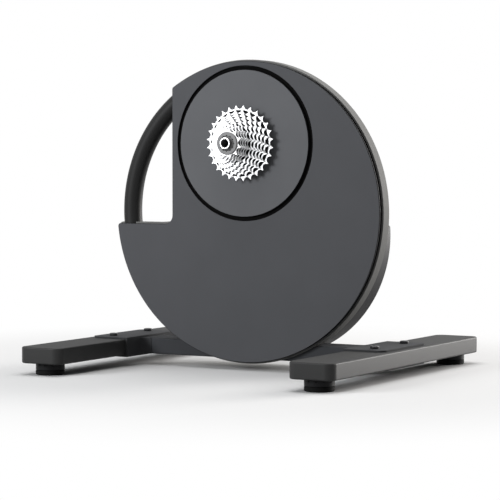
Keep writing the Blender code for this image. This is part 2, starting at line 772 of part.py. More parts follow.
def make_foot(label, place):
    """Levelling foot: a rubber pad under a notched knob whose stud screws into the leg."""
    pad_profile = [(0.0, PAD_HEIGHT), (FOOT_RADIUS, PAD_HEIGHT), (FOOT_RADIUS, PAD_CHAMFER),
                   (FOOT_RADIUS - PAD_CHAMFER, 0.0), (0.0, 0.0)]
    pad = turned(f"foot_pad_{label}", pad_profile, place, False, SHAFT_STEPS, False)
    black_rubber(pad)
    knob_profile = [(0.0, KNOB_TOP + STUD_LENGTH), (STUD_RADIUS, KNOB_TOP + STUD_LENGTH),
                    (STUD_RADIUS, KNOB_TOP), (FOOT_RADIUS, KNOB_TOP), (FOOT_RADIUS, KNOB_BOTTOM),
                    (0.0, KNOB_BOTTOM)]
    knob = turned(f"foot_knob_{label}", knob_profile, place, False, SHAFT_STEPS, False)
    grooves = []
    for index in range(KNOB_NOTCHES):
        angle = math.radians(360.0 * (index + 0.5) / KNOB_NOTCHES)
        centre = (FOOT_RADIUS * math.cos(angle), FOOT_RADIUS * math.sin(angle))
        grooves.append(circle(NOTCH_DEPTH, 4, centre))
    cut(knob, slab("grooves", grooves, KNOB_TOP - NOTCH_HEIGHT, KNOB_TOP + OVERLAP, place))
    black_plastic(knob)
    return pad, knob


def make_drive_cover():
    """Notched disc cover on the drive side, with a round window for the pulley panel."""
    window = reverse(circle(GROOVE_RADIUS, RING_STEPS, (0.0, AXLE_HEIGHT)))
    loops = [body_outline(0.0), window]
    cover = plate("drive_cover", loops, DISC_FACE_Y, COVER_BACK_Y, edge=COVER_EDGE)
    return graphite_coat(cover)


def make_band(name):
    """Metal band round the edge of the body, with gaps for the handle and the beam."""
    loops = [body_outline(BAND_PROUD), reverse(body_outline(BAND_INNER))]
    band = plate(name, loops, BAND_FRONT_Y, BAND_BACK_Y)
    first, last = handle_angles(SOCKET_DEPTH)
    cut(band, handle_curve("band_holes", HANDLE_TUBE_RADIUS + FIT, first, last))
    cut(band, beam_clearance("band_beam", DISC_RADIUS, BEAM_FRONT_Y - FIT, TRAY_BACK_Y, 0.0))
    return silver_coat(band)


def notch_box(name):
    """The corner of the notch, as far as the middle of the handle at each end."""
    reach_x = math.sqrt(HANDLE_ARC_RADIUS ** 2 - NOTCH_LEDGE_DROP ** 2)
    reach_z = math.sqrt(HANDLE_ARC_RADIUS ** 2 - NOTCH_WALL_X ** 2)
    low = (-reach_x, DISC_FACE_Y, DISC_HEIGHT - NOTCH_LEDGE_DROP - BAND_WIDTH)
    high = (NOTCH_WALL_X + BAND_WIDTH, TRAY_BACK_Y, DISC_HEIGHT + reach_z)
    return box(name, low, high)


def make_rim_band():
    """The long band round the disc, which passes the beam as a narrow strip in front of it."""
    return cut(make_band("rim_band"), notch_box("notch_gap"))


def make_notch_band():
    """The short band in the corner of the notch, between the handle's two ends."""
    return clip(make_band("notch_band"), notch_box("notch_corner"))


def make_pulley_cover():
    """Round panel, a little proud of the cover, with a rounded edge and a hole for the hub."""
    profile = [(PANEL_RADIUS - PANEL_EDGE, PANEL_FRONT_Y),
               (PANEL_RADIUS, PANEL_FRONT_Y + PANEL_EDGE),
               (PANEL_RADIUS, COVER_BACK_Y), (PANEL_HOLE_RADIUS, COVER_BACK_Y),
               (PANEL_HOLE_RADIUS, PANEL_FRONT_Y)]
    place = (0.0, AXLE_HEIGHT)
    return panel_coat(turned("pulley_cover", profile, place, True, RING_STEPS, True))


def make_panel_seal():
    """Rubber ring behind the groove between the cover and the round panel."""
    profile = ring_profile(SEAL_OUTER_RADIUS, SEAL_INNER_RADIUS, SEAL_FRONT_Y, SEAL_BACK_Y)
    place = (0.0, AXLE_HEIGHT)
    seal = turned("panel_seal", profile, place, True, RING_STEPS, True)
    limit = body_outline(CASTING_INNER - FIT)
    clip(seal, plate("seal_limit", [limit], DISC_FACE_Y, BAND_FRONT_Y))
    return black_rubber(seal)


def cover_screw_places():
    """Screws of the rear cover: X, Z, and the Y of the wall that each one holds."""
    places = []
    for angle in UPPER_SCREW_ANGLES:
        x = UPPER_SCREW_RADIUS * math.cos(math.radians(angle))
        z = DISC_HEIGHT + UPPER_SCREW_RADIUS * math.sin(math.radians(angle))
        places.append((x, z, TRAY_BACK_Y))
    for side in (-1, 1):
        places.append((side * LOWER_SCREW_X, LOWER_SCREW_HEIGHT, DRUM_BACK_Y))
    return places


def board_places():
    """Corners of the control board where its posts stand."""
    places = []
    for across in (-1, 1):
        for up in (-1, 1):
            x = BOARD_CENTRE_X + across * (BOARD_WIDTH / 2 - BOARD_POST_INSET)
            z = BOARD_CENTRE_HEIGHT + up * (BOARD_HEIGHT / 2 - BOARD_POST_INSET)
            places.append((x, z))
    return places


def belt_tangent():
    """Outward direction of the belt's straight run on the rear side, in X and Z."""
    drop = (PULLEY_RADIUS - SHAFT_PULLEY_RADIUS) / (AXLE_HEIGHT - SHAFT_HEIGHT)
    return (-math.sqrt(1.0 - drop * drop), -drop)


def idler_centre():
    """Centre of the idler, which rolls on the outside of the belt's rear run."""
    across, down = belt_tangent()
    reach = BELT_SLACK + BELT_THICKNESS + FIT + IDLER_RADIUS
    start_x = PULLEY_RADIUS * across
    start_z = AXLE_HEIGHT + PULLEY_RADIUS * down
    end_x = SHAFT_PULLEY_RADIUS * across
    end_z = SHAFT_HEIGHT + SHAFT_PULLEY_RADIUS * down
    x = start_x + (end_x - start_x) * IDLER_PLACE + reach * across
    z = start_z + (end_z - start_z) * IDLER_PLACE + reach * down
    return x, z


def pivot_centre():
    """Pivot of the tensioner arm, up along the belt's run from the idler."""
    across, down = belt_tangent()
    x, z = idler_centre()
    return x + ARM_LENGTH * down, z - ARM_LENGTH * across


def make_main_casting():
    """Alloy casting that carries everything: a plate with a rim wall, bosses and sockets."""
    casting = plate("main_casting", [body_outline(CASTING_OUTER)], PLATE_FRONT_Y, BAND_BACK_Y)
    inner = reverse(body_outline(CASTING_INNER))
    wall_back = PLATE_FRONT_Y + OVERLAP
    join(casting, plate("rim_wall", [body_outline(CASTING_OUTER), inner], BAND_FRONT_Y + FIT,
                        wall_back))
    join(casting, plate("front_wall", [body_outline(-SHADOW_DEPTH), inner], SEAL_FRONT_Y,
                        BAND_FRONT_Y + FIT + OVERLAP))
    first, last = handle_angles(SOCKET_DEPTH)
    inner_first, inner_last = handle_angles(HANDLE_INSERT + SOCKET_END_GAP)
    socket = handle_curve("socket_shape", HANDLE_TUBE_RADIUS + FIT + SOCKET_WALL, first, last)
    clip(socket, plate("socket_limit", [body_outline(CASTING_OUTER - OVERLAP)], SEAL_FRONT_Y + FIT,
                       TRAY_FLOOR_Y - FIT))
    clip(socket, plate("socket_front", [body_outline(-SHADOW_DEPTH - OVERLAP)], DISC_FACE_Y,
                       TRAY_BACK_Y))
    join(casting, socket)
    hub = [(0.0, PLATE_FRONT_Y + OVERLAP), (HUB_BOSS_RADIUS, PLATE_FRONT_Y + OVERLAP),
           (HUB_BOSS_RADIUS, TRAY_BACK_Y + HUB_BOSS_STEP), (HUB_BOSS_TIP_RADIUS, HUB_BOSS_END_Y),
           (0.0, HUB_BOSS_END_Y)]
    axle_place = (0.0, AXLE_HEIGHT)
    shaft_place = (0.0, SHAFT_HEIGHT)
    join(casting, turned("hub_boss", hub, axle_place, True, SHAFT_STEPS, False))
    bearing_seat = SHAFT_BEARING_RADIUS + FIT
    shaft_boss = rod_profile(bearing_seat + SHAFT_BOSS_WALL, PLATE_FRONT_Y + OVERLAP,
                             SHAFT_BOSS_END_Y)
    join(casting, turned("shaft_boss", shaft_boss, shaft_place, True, SHAFT_STEPS, False))
    low = (-FOOT_BLOCK_LENGTH / 2, FOOT_BLOCK_FRONT_Y, BEAM_BOTTOM)
    high = (FOOT_BLOCK_LENGTH / 2, FOOT_BLOCK_BACK_Y, BEAM_TOP + FOOT_BLOCK_HEIGHT)
    join(casting, box("foot_block", low, high))
    for x, z, wall_y in cover_screw_places():
        pillar = rod_profile(PILLAR_RADIUS, PLATE_FRONT_Y + OVERLAP, wall_y - REAR_WALL - FIT)
        join(casting, turned("pillar", pillar, (x, z), True, SMALL_STEPS, False))
    for place in board_places():
        post = rod_profile(BOARD_POST_RADIUS, PLATE_FRONT_Y + OVERLAP, BOARD_FRONT_Y - FIT)
        join(casting, turned("post", post, place, True, SMALL_STEPS // 2, False))
    boss_radius = PANEL_RADIUS + PANEL_GROOVE / 2
    for angle in PANEL_BOSS_ANGLES:
        x = boss_radius * math.cos(math.radians(angle))
        z = AXLE_HEIGHT + boss_radius * math.sin(math.radians(angle))
        boss = rod_profile(PANEL_BOSS_RADIUS, SEAL_BACK_Y + FIT, BAND_BACK_Y - OVERLAP)
        join(casting, turned("panel_boss", boss, (x, z), True, SMALL_STEPS // 2, False))
    pivot = rod_profile(PIVOT_BOSS_RADIUS, ARM_BACK_Y + FIT, BAND_BACK_Y - OVERLAP)
    join(casting, turned("pivot_boss", pivot, pivot_centre(), True, SMALL_STEPS, False))
    front = PLATE_FRONT_Y - OVERLAP
    hub_back = HUB_BOSS_END_Y + OVERLAP
    shaft_back = SHAFT_BOSS_END_Y + OVERLAP
    cut(casting, bore(AXLE_RADIUS + FIT, front, hub_back, axle_place, SHAFT_STEPS),
        bore(bearing_seat, front, shaft_back, shaft_place, SHAFT_STEPS))
    cut(casting, handle_curve("handle_bore", HANDLE_TUBE_RADIUS + FIT, inner_first, inner_last))
    for x, z, wall_y in cover_screw_places():
        hole_front = wall_y - REAR_WALL - COVER_SCREW_GRIP - FIT
        cut(casting, bore(COVER_SCREW_RADIUS + FIT, hole_front, wall_y, (x, z), SMALL_STEPS // 2))
    pivot_end = ARM_BACK_Y + PIVOT_GRIP + FIT
    cut(casting, bore(PIVOT_RADIUS + FIT, DISC_FACE_Y, pivot_end, pivot_centre(), SMALL_STEPS))
    cut(casting, beam_clearance("casting_beam", DISC_RADIUS, BEAM_FRONT_Y - FIT, BEAM_BACK_Y, FIT))
    holes = [circle(BEAM_BOLT_RADIUS + FIT, SMALL_STEPS, (side * BEAM_BOLT_SPREAD, BEAM_BOLT_Y))
             for side in (-1, 1)]
    top = BEAM_TOP + FIT + BEAM_BOLT_GRIP + FIT
    cut(casting, slab("foot_holes", holes, BEAM_TOP - OVERLAP, top))
    return black_coat(casting)


def make_rear_cover():
    """Moulded cover of the other side: a tray with a vented drum, straddling the beam."""
    cover = plate("rear_cover", [body_outline(-REAR_INSET)], TRAY_FRONT_Y, TRAY_BACK_Y)
    drum_front = TRAY_BACK_Y - REAR_WALL
    drum = plate("drum", [drum_outline(0.0)], drum_front, DRUM_BACK_Y, edge=DRUM_EDGE)
    cut(drum, box("drum_front", (-DISC_RADIUS, TRAY_FRONT_Y, 0.0),
                  (DISC_RADIUS, drum_front + DRUM_EDGE, AXLE_HEIGHT)))
    join(cover, drum)
    inner = body_outline(-REAR_INSET - REAR_WALL)
    tray_space = plate("tray_space", [inner], TRAY_FRONT_Y - OVERLAP, TRAY_FLOOR_Y)
    passage = plate("passage", [drum_outline(PASSAGE_LIP)], TRAY_FLOOR_Y - OVERLAP,
                    TRAY_BACK_Y + OVERLAP)
    low = (-DISC_RADIUS, TRAY_FRONT_Y, BEAM_TOP + FIT + REAR_WALL)
    clip(passage, box("passage_limit", low, (DISC_RADIUS, DRUM_BACK_Y, PASSAGE_TOP)))
    drum_space = plate("drum_space", [drum_outline(REAR_WALL)], TRAY_BACK_Y, DRUM_FLOOR_Y)
    cut(drum_space, beam_clearance("recess", DISC_RADIUS, TRAY_FRONT_Y, BEAM_BACK_Y + FIT,
                                   REAR_WALL))
    cut(cover, tray_space, passage, drum_space)
    cut(cover, beam_clearance("cover_beam", DISC_RADIUS, DISC_FACE_Y, BEAM_BACK_Y + FIT, 0.0))
    hub_place = (0.0, AXLE_HEIGHT)
    cut(cover, bore(HUB_BOSS_RADIUS + FIT, TRAY_FRONT_Y, TRAY_BACK_Y + OVERLAP, hub_place,
                    SHAFT_STEPS))
    first, last = handle_angles(SOCKET_DEPTH + SOCKET_END_GAP)
    socket_radius = HANDLE_TUBE_RADIUS + SOCKET_WALL + 2 * FIT
    cut(cover, handle_curve("socket_space", socket_radius, first, last))
    for x, z, wall_y in cover_screw_places():
        hole_front = wall_y - REAR_WALL - OVERLAP
        cut(cover, bore(COVER_SCREW_RADIUS + FIT, hole_front, wall_y + OVERLAP, (x, z),
                        SMALL_STEPS // 2))
    floor = DRUM_FLOOR_Y - OVERLAP
    cut(cover, bore(INLET_RADIUS + FIT, floor, DRUM_BACK_Y + OVERLAP, (INLET_X, INLET_HEIGHT),
                    SMALL_STEPS))
    slots = []
    for index in range(VENT_COUNT):
        rise = (index - (VENT_COUNT - 1) / 2) * VENT_PITCH
        half = math.sqrt(VENT_REACH ** 2 - rise ** 2)
        middle = (0.0, SHAFT_HEIGHT + rise)
        slots.append(rounded_box(half, VENT_HEIGHT / 2, VENT_HEIGHT / 2 - SHARPEST, middle))
    cut(cover, plate("vents", slots, DRUM_FLOOR_Y - OVERLAP, DRUM_BACK_Y + OVERLAP))
    return black_plastic(cover)


def make_cover_screw(index, x, z, wall_y):
    """Pan-head screw of the rear cover."""
    head = wall_y + FIT
    tip = wall_y - REAR_WALL - COVER_SCREW_GRIP
    profile = [(0.0, tip), (COVER_SCREW_RADIUS, tip), (COVER_SCREW_RADIUS, head),
               (COVER_SCREW_HEAD_RADIUS, head),
               (COVER_SCREW_HEAD_RADIUS - COVER_SCREW_CHAMFER, head + COVER_SCREW_HEAD),
               (0.0, head + COVER_SCREW_HEAD)]
    screw = turned(f"cover_screw_{index}", profile, (x, z), True, SMALL_STEPS // 2, False)
    return black_steel(screw)


def make_handle():
    """Bent carrying handle across the notch, its ends in the casting's sockets."""
    first, last = handle_angles(HANDLE_INSERT)
    return black_coat(handle_curve("handle_tube", HANDLE_TUBE_RADIUS, first, last))


def make_hub_axle():
    """Hollow fixed axle that the bicycle's own through axle passes through."""
    profile = ring_profile(AXLE_RADIUS, AXLE_BORE_RADIUS, AXLE_FRONT_Y, AXLE_BACK_Y)
    place = (0.0, AXLE_HEIGHT)
    return grey_steel(turned("hub_axle", profile, place, True, SHAFT_STEPS, True))


def make_drive_end_cap():
    """End cap that the drive-side dropout seats on, with a sleeve over the axle."""
    step_y = DRIVE_END_Y + END_CAP_LENGTH
    sleeve_y = step_y + END_CAP_SLEEVE
    profile = [(END_CAP_RADIUS - END_CAP_EDGE, DRIVE_END_Y),
               (END_CAP_RADIUS, DRIVE_END_Y + END_CAP_EDGE), (END_CAP_RADIUS, step_y),
               (END_CAP_SLEEVE_RADIUS, step_y + END_CAP_SLOPE),
               (END_CAP_SLEEVE_RADIUS, sleeve_y), (AXLE_RADIUS + FIT, sleeve_y),
               (AXLE_RADIUS + FIT, step_y), (AXLE_BORE_RADIUS, step_y),
               (AXLE_BORE_RADIUS, DRIVE_END_Y)]
    place = (0.0, AXLE_HEIGHT)
    return bright_steel(turned("drive_end_cap", profile, place, True, SHAFT_STEPS, True))


def make_far_end_cap():
    """End cap that the other dropout seats on."""
    step_y = FAR_END_Y - FAR_CAP_LENGTH
    seat_y = HUB_BOSS_END_Y + FIT
    profile = [(FAR_CAP_RADIUS, seat_y), (FAR_CAP_RADIUS, step_y), (END_CAP_RADIUS, step_y),
               (END_CAP_RADIUS, FAR_END_Y), (AXLE_BORE_RADIUS, FAR_END_Y),
               (AXLE_BORE_RADIUS, step_y), (AXLE_RADIUS + FIT, step_y),
               (AXLE_RADIUS + FIT, seat_y)]
    place = (0.0, AXLE_HEIGHT)
    return bright_steel(turned("far_end_cap", profile, place, True, SHAFT_STEPS, True))


def make_bearing(name, centre, outer, inner, front, width):
    """Sealed ball bearing."""
    profile = ring_profile(outer, inner, front, front + width)
    return grey_steel(turned(name, profile, centre, True, SHAFT_STEPS, True))


def make_drive_pulley():
    """Large belt pulley with its hub sleeve, web and rim."""
    web_front = (PULLEY_RIM_FRONT_Y + PULLEY_RIM_BACK_Y - PULLEY_WEB) / 2
    web_back = web_front + PULLEY_WEB
    rim_inner = PULLEY_RADIUS - PULLEY_RIM
    seat = HUB_BEARING_RADIUS + FIT
    profile = [(PULLEY_HUB_RADIUS, PULLEY_HUB_FRONT_Y), (PULLEY_HUB_RADIUS, web_front),
               (rim_inner, web_front), (rim_inner, PULLEY_RIM_FRONT_Y),
               (PULLEY_RADIUS, PULLEY_RIM_FRONT_Y), (PULLEY_RADIUS, PULLEY_RIM_BACK_Y),
               (rim_inner, PULLEY_RIM_BACK_Y), (rim_inner, web_back),
               (PULLEY_HUB_RADIUS, web_back), (PULLEY_HUB_RADIUS, PULLEY_HUB_BACK_Y),
               (seat, PULLEY_HUB_BACK_Y), (seat, PULLEY_HUB_FRONT_Y)]
    place = (0.0, AXLE_HEIGHT)
    return cast_alloy(turned("drive_pulley", profile, place, True, RING_STEPS, True))


def make_freehub_body():
    """Splined sleeve under the sprockets, with a flange behind the largest one."""
    bush = AXLE_RADIUS + FIT
    bearing = FREEHUB_BEARING_RADIUS + FIT
    flange_y = FREEHUB_BACK_Y - FREEHUB_FLANGE
    thread_y = FREEHUB_FRONT_Y + FREEHUB_THREAD_DEPTH
    bearing_y = thread_y + FREEHUB_BEARING_WIDTH + 2 * FIT
    profile = [(SEAT_RADIUS, FREEHUB_FRONT_Y), (SEAT_RADIUS, flange_y),
               (FREEHUB_FLANGE_RADIUS, flange_y), (FREEHUB_FLANGE_RADIUS, FREEHUB_BACK_Y),
               (bush, FREEHUB_BACK_Y), (bush, FREEHUB_BACK_Y - FREEHUB_BUSH_LENGTH),
               (bearing - BEARING_LEDGE, FREEHUB_BACK_Y - FREEHUB_BUSH_LENGTH),
               (bearing - BEARING_LEDGE, bearing_y), (bearing, bearing_y), (bearing, thread_y),
               (FREEHUB_THREAD_RADIUS, thread_y), (FREEHUB_THREAD_RADIUS, FREEHUB_FRONT_Y)]
    place = (0.0, AXLE_HEIGHT)
    return grey_steel(turned("freehub_body", profile, place, True, SHAFT_STEPS, True))


def cog_outline(teeth):
    """Outline of a sprocket with blunt teeth, four points to a tooth."""
    pitch_radius = CHAIN_PITCH / (2 * math.sin(math.pi / teeth))
    tip = pitch_radius + TOOTH_RISE
    root = tip - TOOTH_DEPTH
    shape = ((root, -0.2), (root, 0.2), (tip, 0.4), (tip, 0.6))
    points = []
    for tooth in range(teeth):
        for radius, share in shape:
            angle = 2 * math.pi * (tooth + share) / teeth
            points.append((radius * math.cos(angle), radius * math.sin(angle)))
    return points


def cog_y(index):
    """Middle plane of a sprocket, counted from the largest."""
    return LARGEST_COG_Y - COG_SPACING * index


def cog_plate(name, index, hole):
    """One toothed plate."""
    middle = cog_y(index)
    loops = [cog_outline(TEETH[index]), reverse(circle(hole, SHAFT_STEPS))]
    front = middle - COG_THICKNESS / 2
    return plate(name, loops, front, front + COG_THICKNESS, (0.0, AXLE_HEIGHT))


def make_cog_cluster():
    """The largest sprockets, riveted to one carrier."""
    seat = SEAT_RADIUS + FIT
    hole = seat + CARRIER_WALL - CARRIER_LAP
    cluster = cog_plate("cog_cluster", 0, hole)
    for index in range(1, CLUSTER_COUNT):
        join(cluster, cog_plate("cluster_cog", index, hole))
    front = cog_y(CLUSTER_COUNT - 1) - COG_THICKNESS / 2 - FIT / 3
    back = LARGEST_COG_Y + COG_THICKNESS / 2 + FIT / 3
    profile = ring_profile(seat + CARRIER_WALL, seat, front, back)
    place = (0.0, AXLE_HEIGHT)
    join(cluster, turned("carrier", profile, place, True, SHAFT_STEPS, True))
    return bright_steel(cluster)


def make_cog(index):
    """A loose sprocket with its own spacer behind it."""
    seat = SEAT_RADIUS + FIT
    outer = seat + SPACER_WALL
    root = CHAIN_PITCH / (2 * math.sin(math.pi / TEETH[index])) + TOOTH_RISE - TOOTH_DEPTH
    outer = min(outer, root - SHARPEST)
    cog = cog_plate(f"cog_{TEETH[index]}", index, seat)
    face = cog_y(index) + COG_THICKNESS / 2
    back = cog_y(index - 1) - COG_THICKNESS / 2 - FIT
    if index == CLUSTER_COUNT:
        back -= FIT / 3
    profile = ring_profile(outer, seat, face - OVERLAP, back)
    place = (0.0, AXLE_HEIGHT)
    join(cog, turned("spacer", profile, place, True, SHAFT_STEPS, True))
    return bright_steel(cog)


def make_lockring():
    """Ring that screws into the freehub and clamps the sprockets."""
    front = LOCKRING_BACK_Y - LOCKRING_FLANGE
    sleeve_radius = FREEHUB_THREAD_RADIUS - FIT
    sleeve_y = FREEHUB_FRONT_Y + FREEHUB_THREAD_DEPTH - FIT
    profile = [(LOCKRING_RADIUS - LOCKRING_EDGE, front), (LOCKRING_RADIUS, front + LOCKRING_EDGE),
               (LOCKRING_RADIUS, LOCKRING_BACK_Y), (sleeve_radius, LOCKRING_BACK_Y),
               (sleeve_radius, sleeve_y), (LOCKRING_BORE_RADIUS, sleeve_y),
               (LOCKRING_BORE_RADIUS, front)]
    place = (0.0, AXLE_HEIGHT)
    return grey_steel(turned("lockring", profile, place, True, SHAFT_STEPS, True))


def make_drive_belt():
    """Ribbed belt round both pulleys, drawn tight."""
    across, down = belt_tangent()
    lean = math.degrees(math.atan2(-down, -across))
    loops = []
    for extra in (BELT_SLACK + BELT_THICKNESS, BELT_SLACK):
        big = arc((0.0, AXLE_HEIGHT), PULLEY_RADIUS + extra, -lean, 180.0 + lean,
                  RING_STEPS * 2 // 3)
        small = arc((0.0, SHAFT_HEIGHT), SHAFT_PULLEY_RADIUS + extra, 180.0 + lean, 360.0 - lean,
                    SMALL_STEPS // 2)
        loops.append(big + small)
    loops[1] = reverse(loops[1])
    belt = plate("drive_belt", loops, BELT_FRONT_Y + FIT, BELT_FRONT_Y + BELT_WIDTH)
    return black_rubber(belt)


def make_shaft_pulley():
    """Small belt pulley on the flywheel's shaft."""
    profile = ring_profile(SHAFT_PULLEY_RADIUS, SHAFT_RADIUS + FIT, PULLEY_RIM_FRONT_Y,
                           PULLEY_RIM_BACK_Y)
    place = (0.0, SHAFT_HEIGHT)
    return grey_steel(turned("shaft_pulley", profile, place, True, SHAFT_STEPS, True))


def make_flywheel_shaft():
    """Steel shaft that joins the small pulley and the flywheel."""
    profile = rod_profile(SHAFT_RADIUS, SHAFT_FRONT_Y, SHAFT_BACK_Y)
    place = (0.0, SHAFT_HEIGHT)
    return bright_steel(turned("flywheel_shaft", profile, place, True, SMALL_STEPS, False))


def make_flywheel():
    """Heavy rimmed flywheel that the brake magnets act on."""
    front = FLYWHEEL_FRONT_Y
    back = front + FLYWHEEL_WIDTH
    web_front = front + (FLYWHEEL_WIDTH - FLYWHEEL_WEB) / 2
    web_back = web_front + FLYWHEEL_WEB
    rim_inner = FLYWHEEL_RADIUS - FLYWHEEL_RIM
    hub_front = SHAFT_BOSS_END_Y + 2 * FIT
    inner = SHAFT_RADIUS + FIT
    profile = [(FLYWHEEL_HUB_RADIUS, hub_front), (FLYWHEEL_HUB_RADIUS, web_front),
               (rim_inner, web_front), (rim_inner, front), (FLYWHEEL_RADIUS, front),
               (FLYWHEEL_RADIUS, back), (rim_inner, back), (rim_inner, web_back),
               (FLYWHEEL_HUB_RADIUS, web_back), (FLYWHEEL_HUB_RADIUS, back), (inner, back),
               (inner, hub_front)]
    place = (0.0, SHAFT_HEIGHT)
    return grey_steel(turned("flywheel", profile, place, True, RING_STEPS, True))


def pole_places():
    """Centres of the two brake poles, in X and Z."""
    x = -math.sqrt(BRAKE_RADIUS ** 2 - (BRAKE_PITCH / 2) ** 2)
    return [(x, SHAFT_HEIGHT - BRAKE_PITCH / 2), (x, SHAFT_HEIGHT + BRAKE_PITCH / 2)]


def make_brake_core():
    """Iron yoke on the casting, with two poles that face the flywheel."""
    x = pole_places()[0][0]
    low = (x - BRAKE_BASE_WIDTH / 2, BAND_BACK_Y + FIT, SHAFT_HEIGHT - BRAKE_BASE_LENGTH / 2)
    high = (x + BRAKE_BASE_WIDTH / 2, BRAKE_BASE_BACK_Y, SHAFT_HEIGHT + BRAKE_BASE_LENGTH / 2)
    core = box("brake_core", low, high)
    for place in pole_places():
        outline = rounded_box(POLE_WIDTH / 2, POLE_LENGTH / 2, POLE_CORNER)
        tip = FLYWHEEL_FRONT_Y - POLE_GAP
        join(core, plate("pole", [outline], BRAKE_BASE_BACK_Y - OVERLAP, tip, place))
    return grey_steel(core)


def make_brake_coil(index, place):
    """Copper winding round one brake pole."""
    inner = rounded_box(POLE_WIDTH / 2 + FIT, POLE_LENGTH / 2 + FIT, POLE_CORNER)
    outer = rounded_box(POLE_WIDTH / 2 + COIL_WALL, POLE_LENGTH / 2 + COIL_WALL, COIL_CORNER)
    front = BRAKE_BASE_BACK_Y + FIT
    loops = [outer, reverse(inner)]
    coil = plate(f"brake_coil_{index}", loops, front, front + COIL_DEPTH, place)
    return copper_wire(coil)


def make_tensioner_bolt():
    """Shouldered bolt that the tensioner arm turns on."""
    head_back = ARM_BACK_Y - ARM_THICKNESS - FIT
    tip = ARM_BACK_Y + PIVOT_GRIP
    profile = [(0.0, head_back - PIVOT_HEAD), (PIVOT_HEAD_RADIUS, head_back - PIVOT_HEAD),
               (PIVOT_HEAD_RADIUS, head_back), (PIVOT_RADIUS, head_back), (PIVOT_RADIUS, tip),
               (0.0, tip)]
    bolt = turned("tensioner_bolt", profile, pivot_centre(), True, SMALL_STEPS, False)
    return black_steel(bolt)


def make_tensioner_arm():
    """Sprung arm with round ends and a pin for the idler."""
    pivot = pivot_centre()
    idler = idler_centre()
    run_x = idler[0] - pivot[0]
    run_z = idler[1] - pivot[1]
    lean = math.degrees(math.atan2(run_z, run_x))
    outline = arc((0.0, 0.0), ARM_WIDTH / 2, lean + 90.0, lean + 270.0, SMALL_STEPS // 2)
    outline += arc((run_x, run_z), ARM_WIDTH / 2, lean - 90.0, lean + 90.0, SMALL_STEPS // 2)
    hole = reverse(circle(PIVOT_RADIUS + FIT, SMALL_STEPS))
    arm_front = ARM_BACK_Y - ARM_THICKNESS
    arm = plate("tensioner_arm", [outline, hole], arm_front, ARM_BACK_Y, pivot)
    pin = rod_profile(IDLER_PIN_RADIUS, BELT_FRONT_Y, arm_front + OVERLAP)
    join(arm, turned("idler_pin", pin, idler, True, SMALL_STEPS, False))
    return grey_steel(arm)


def make_idler():
    """Smooth pulley that presses on the belt's back."""
    profile = ring_profile(IDLER_RADIUS, IDLER_PIN_RADIUS + FIT, BELT_FRONT_Y, IDLER_BACK_Y)
    return grey_steel(turned("idler_pulley", profile, idler_centre(), True, SHAFT_STEPS, True))


def make_control_board():
    """Circuit board on four posts, with its larger parts."""
    low = (BOARD_CENTRE_X - BOARD_WIDTH / 2, BOARD_FRONT_Y, BOARD_CENTRE_HEIGHT - BOARD_HEIGHT / 2)
    high = (BOARD_CENTRE_X + BOARD_WIDTH / 2, BOARD_FRONT_Y + BOARD_THICKNESS,
            BOARD_CENTRE_HEIGHT + BOARD_HEIGHT / 2)
    board = box("control_board", low, high)
    for up in (-1, 1):
        z = BOARD_CENTRE_HEIGHT + up * COMPONENT_PITCH / 2
        low = (BOARD_CENTRE_X - COMPONENT_WIDTH / 2, BOARD_FRONT_Y + BOARD_THICKNESS / 2,
               z - COMPONENT_HEIGHT / 2)
        high = (BOARD_CENTRE_X + COMPONENT_WIDTH / 2,
                BOARD_FRONT_Y + BOARD_THICKNESS + COMPONENT_DEPTH, z + COMPONENT_HEIGHT / 2)
        join(board, box("component", low, high))
    return board_green(board)


def make_power_inlet():
    """Round power inlet with a centre pin, open to the back of the drum."""
    lip = DRUM_BACK_Y + FIT
    back = lip + INLET_FLANGE
    floor = back - INLET_BORE_DEPTH
    profile = [(0.0, back - INLET_DEPTH), (INLET_RADIUS, back - INLET_DEPTH),
               (INLET_RADIUS, lip), (INLET_FLANGE_RADIUS, lip), (INLET_FLANGE_RADIUS, back),
               (INLET_BORE_RADIUS, back), (INLET_BORE_RADIUS, floor), (INLET_PIN_RADIUS, floor),
               (INLET_PIN_RADIUS, back - INLET_PIN_DROP), (0.0, back - INLET_PIN_DROP)]
    place = (INLET_X, INLET_HEIGHT)
    return black_plastic(turned("power_inlet", profile, place, True, SMALL_STEPS, False))


def joint_line(name, place, pieces):
    """An empty on a joint's axis, with the pieces that turn or slide on it."""
    empty = bpy.data.objects.new(name, None)
    PARTS.objects.link(empty)
    empty.location = place
    empty.empty_display_size = 0.02
    bpy.context.view_layer.update()
    for piece in pieces:
        piece.parent = empty
        piece.matrix_parent_inverse = empty.matrix_world.inverted()
    return empty


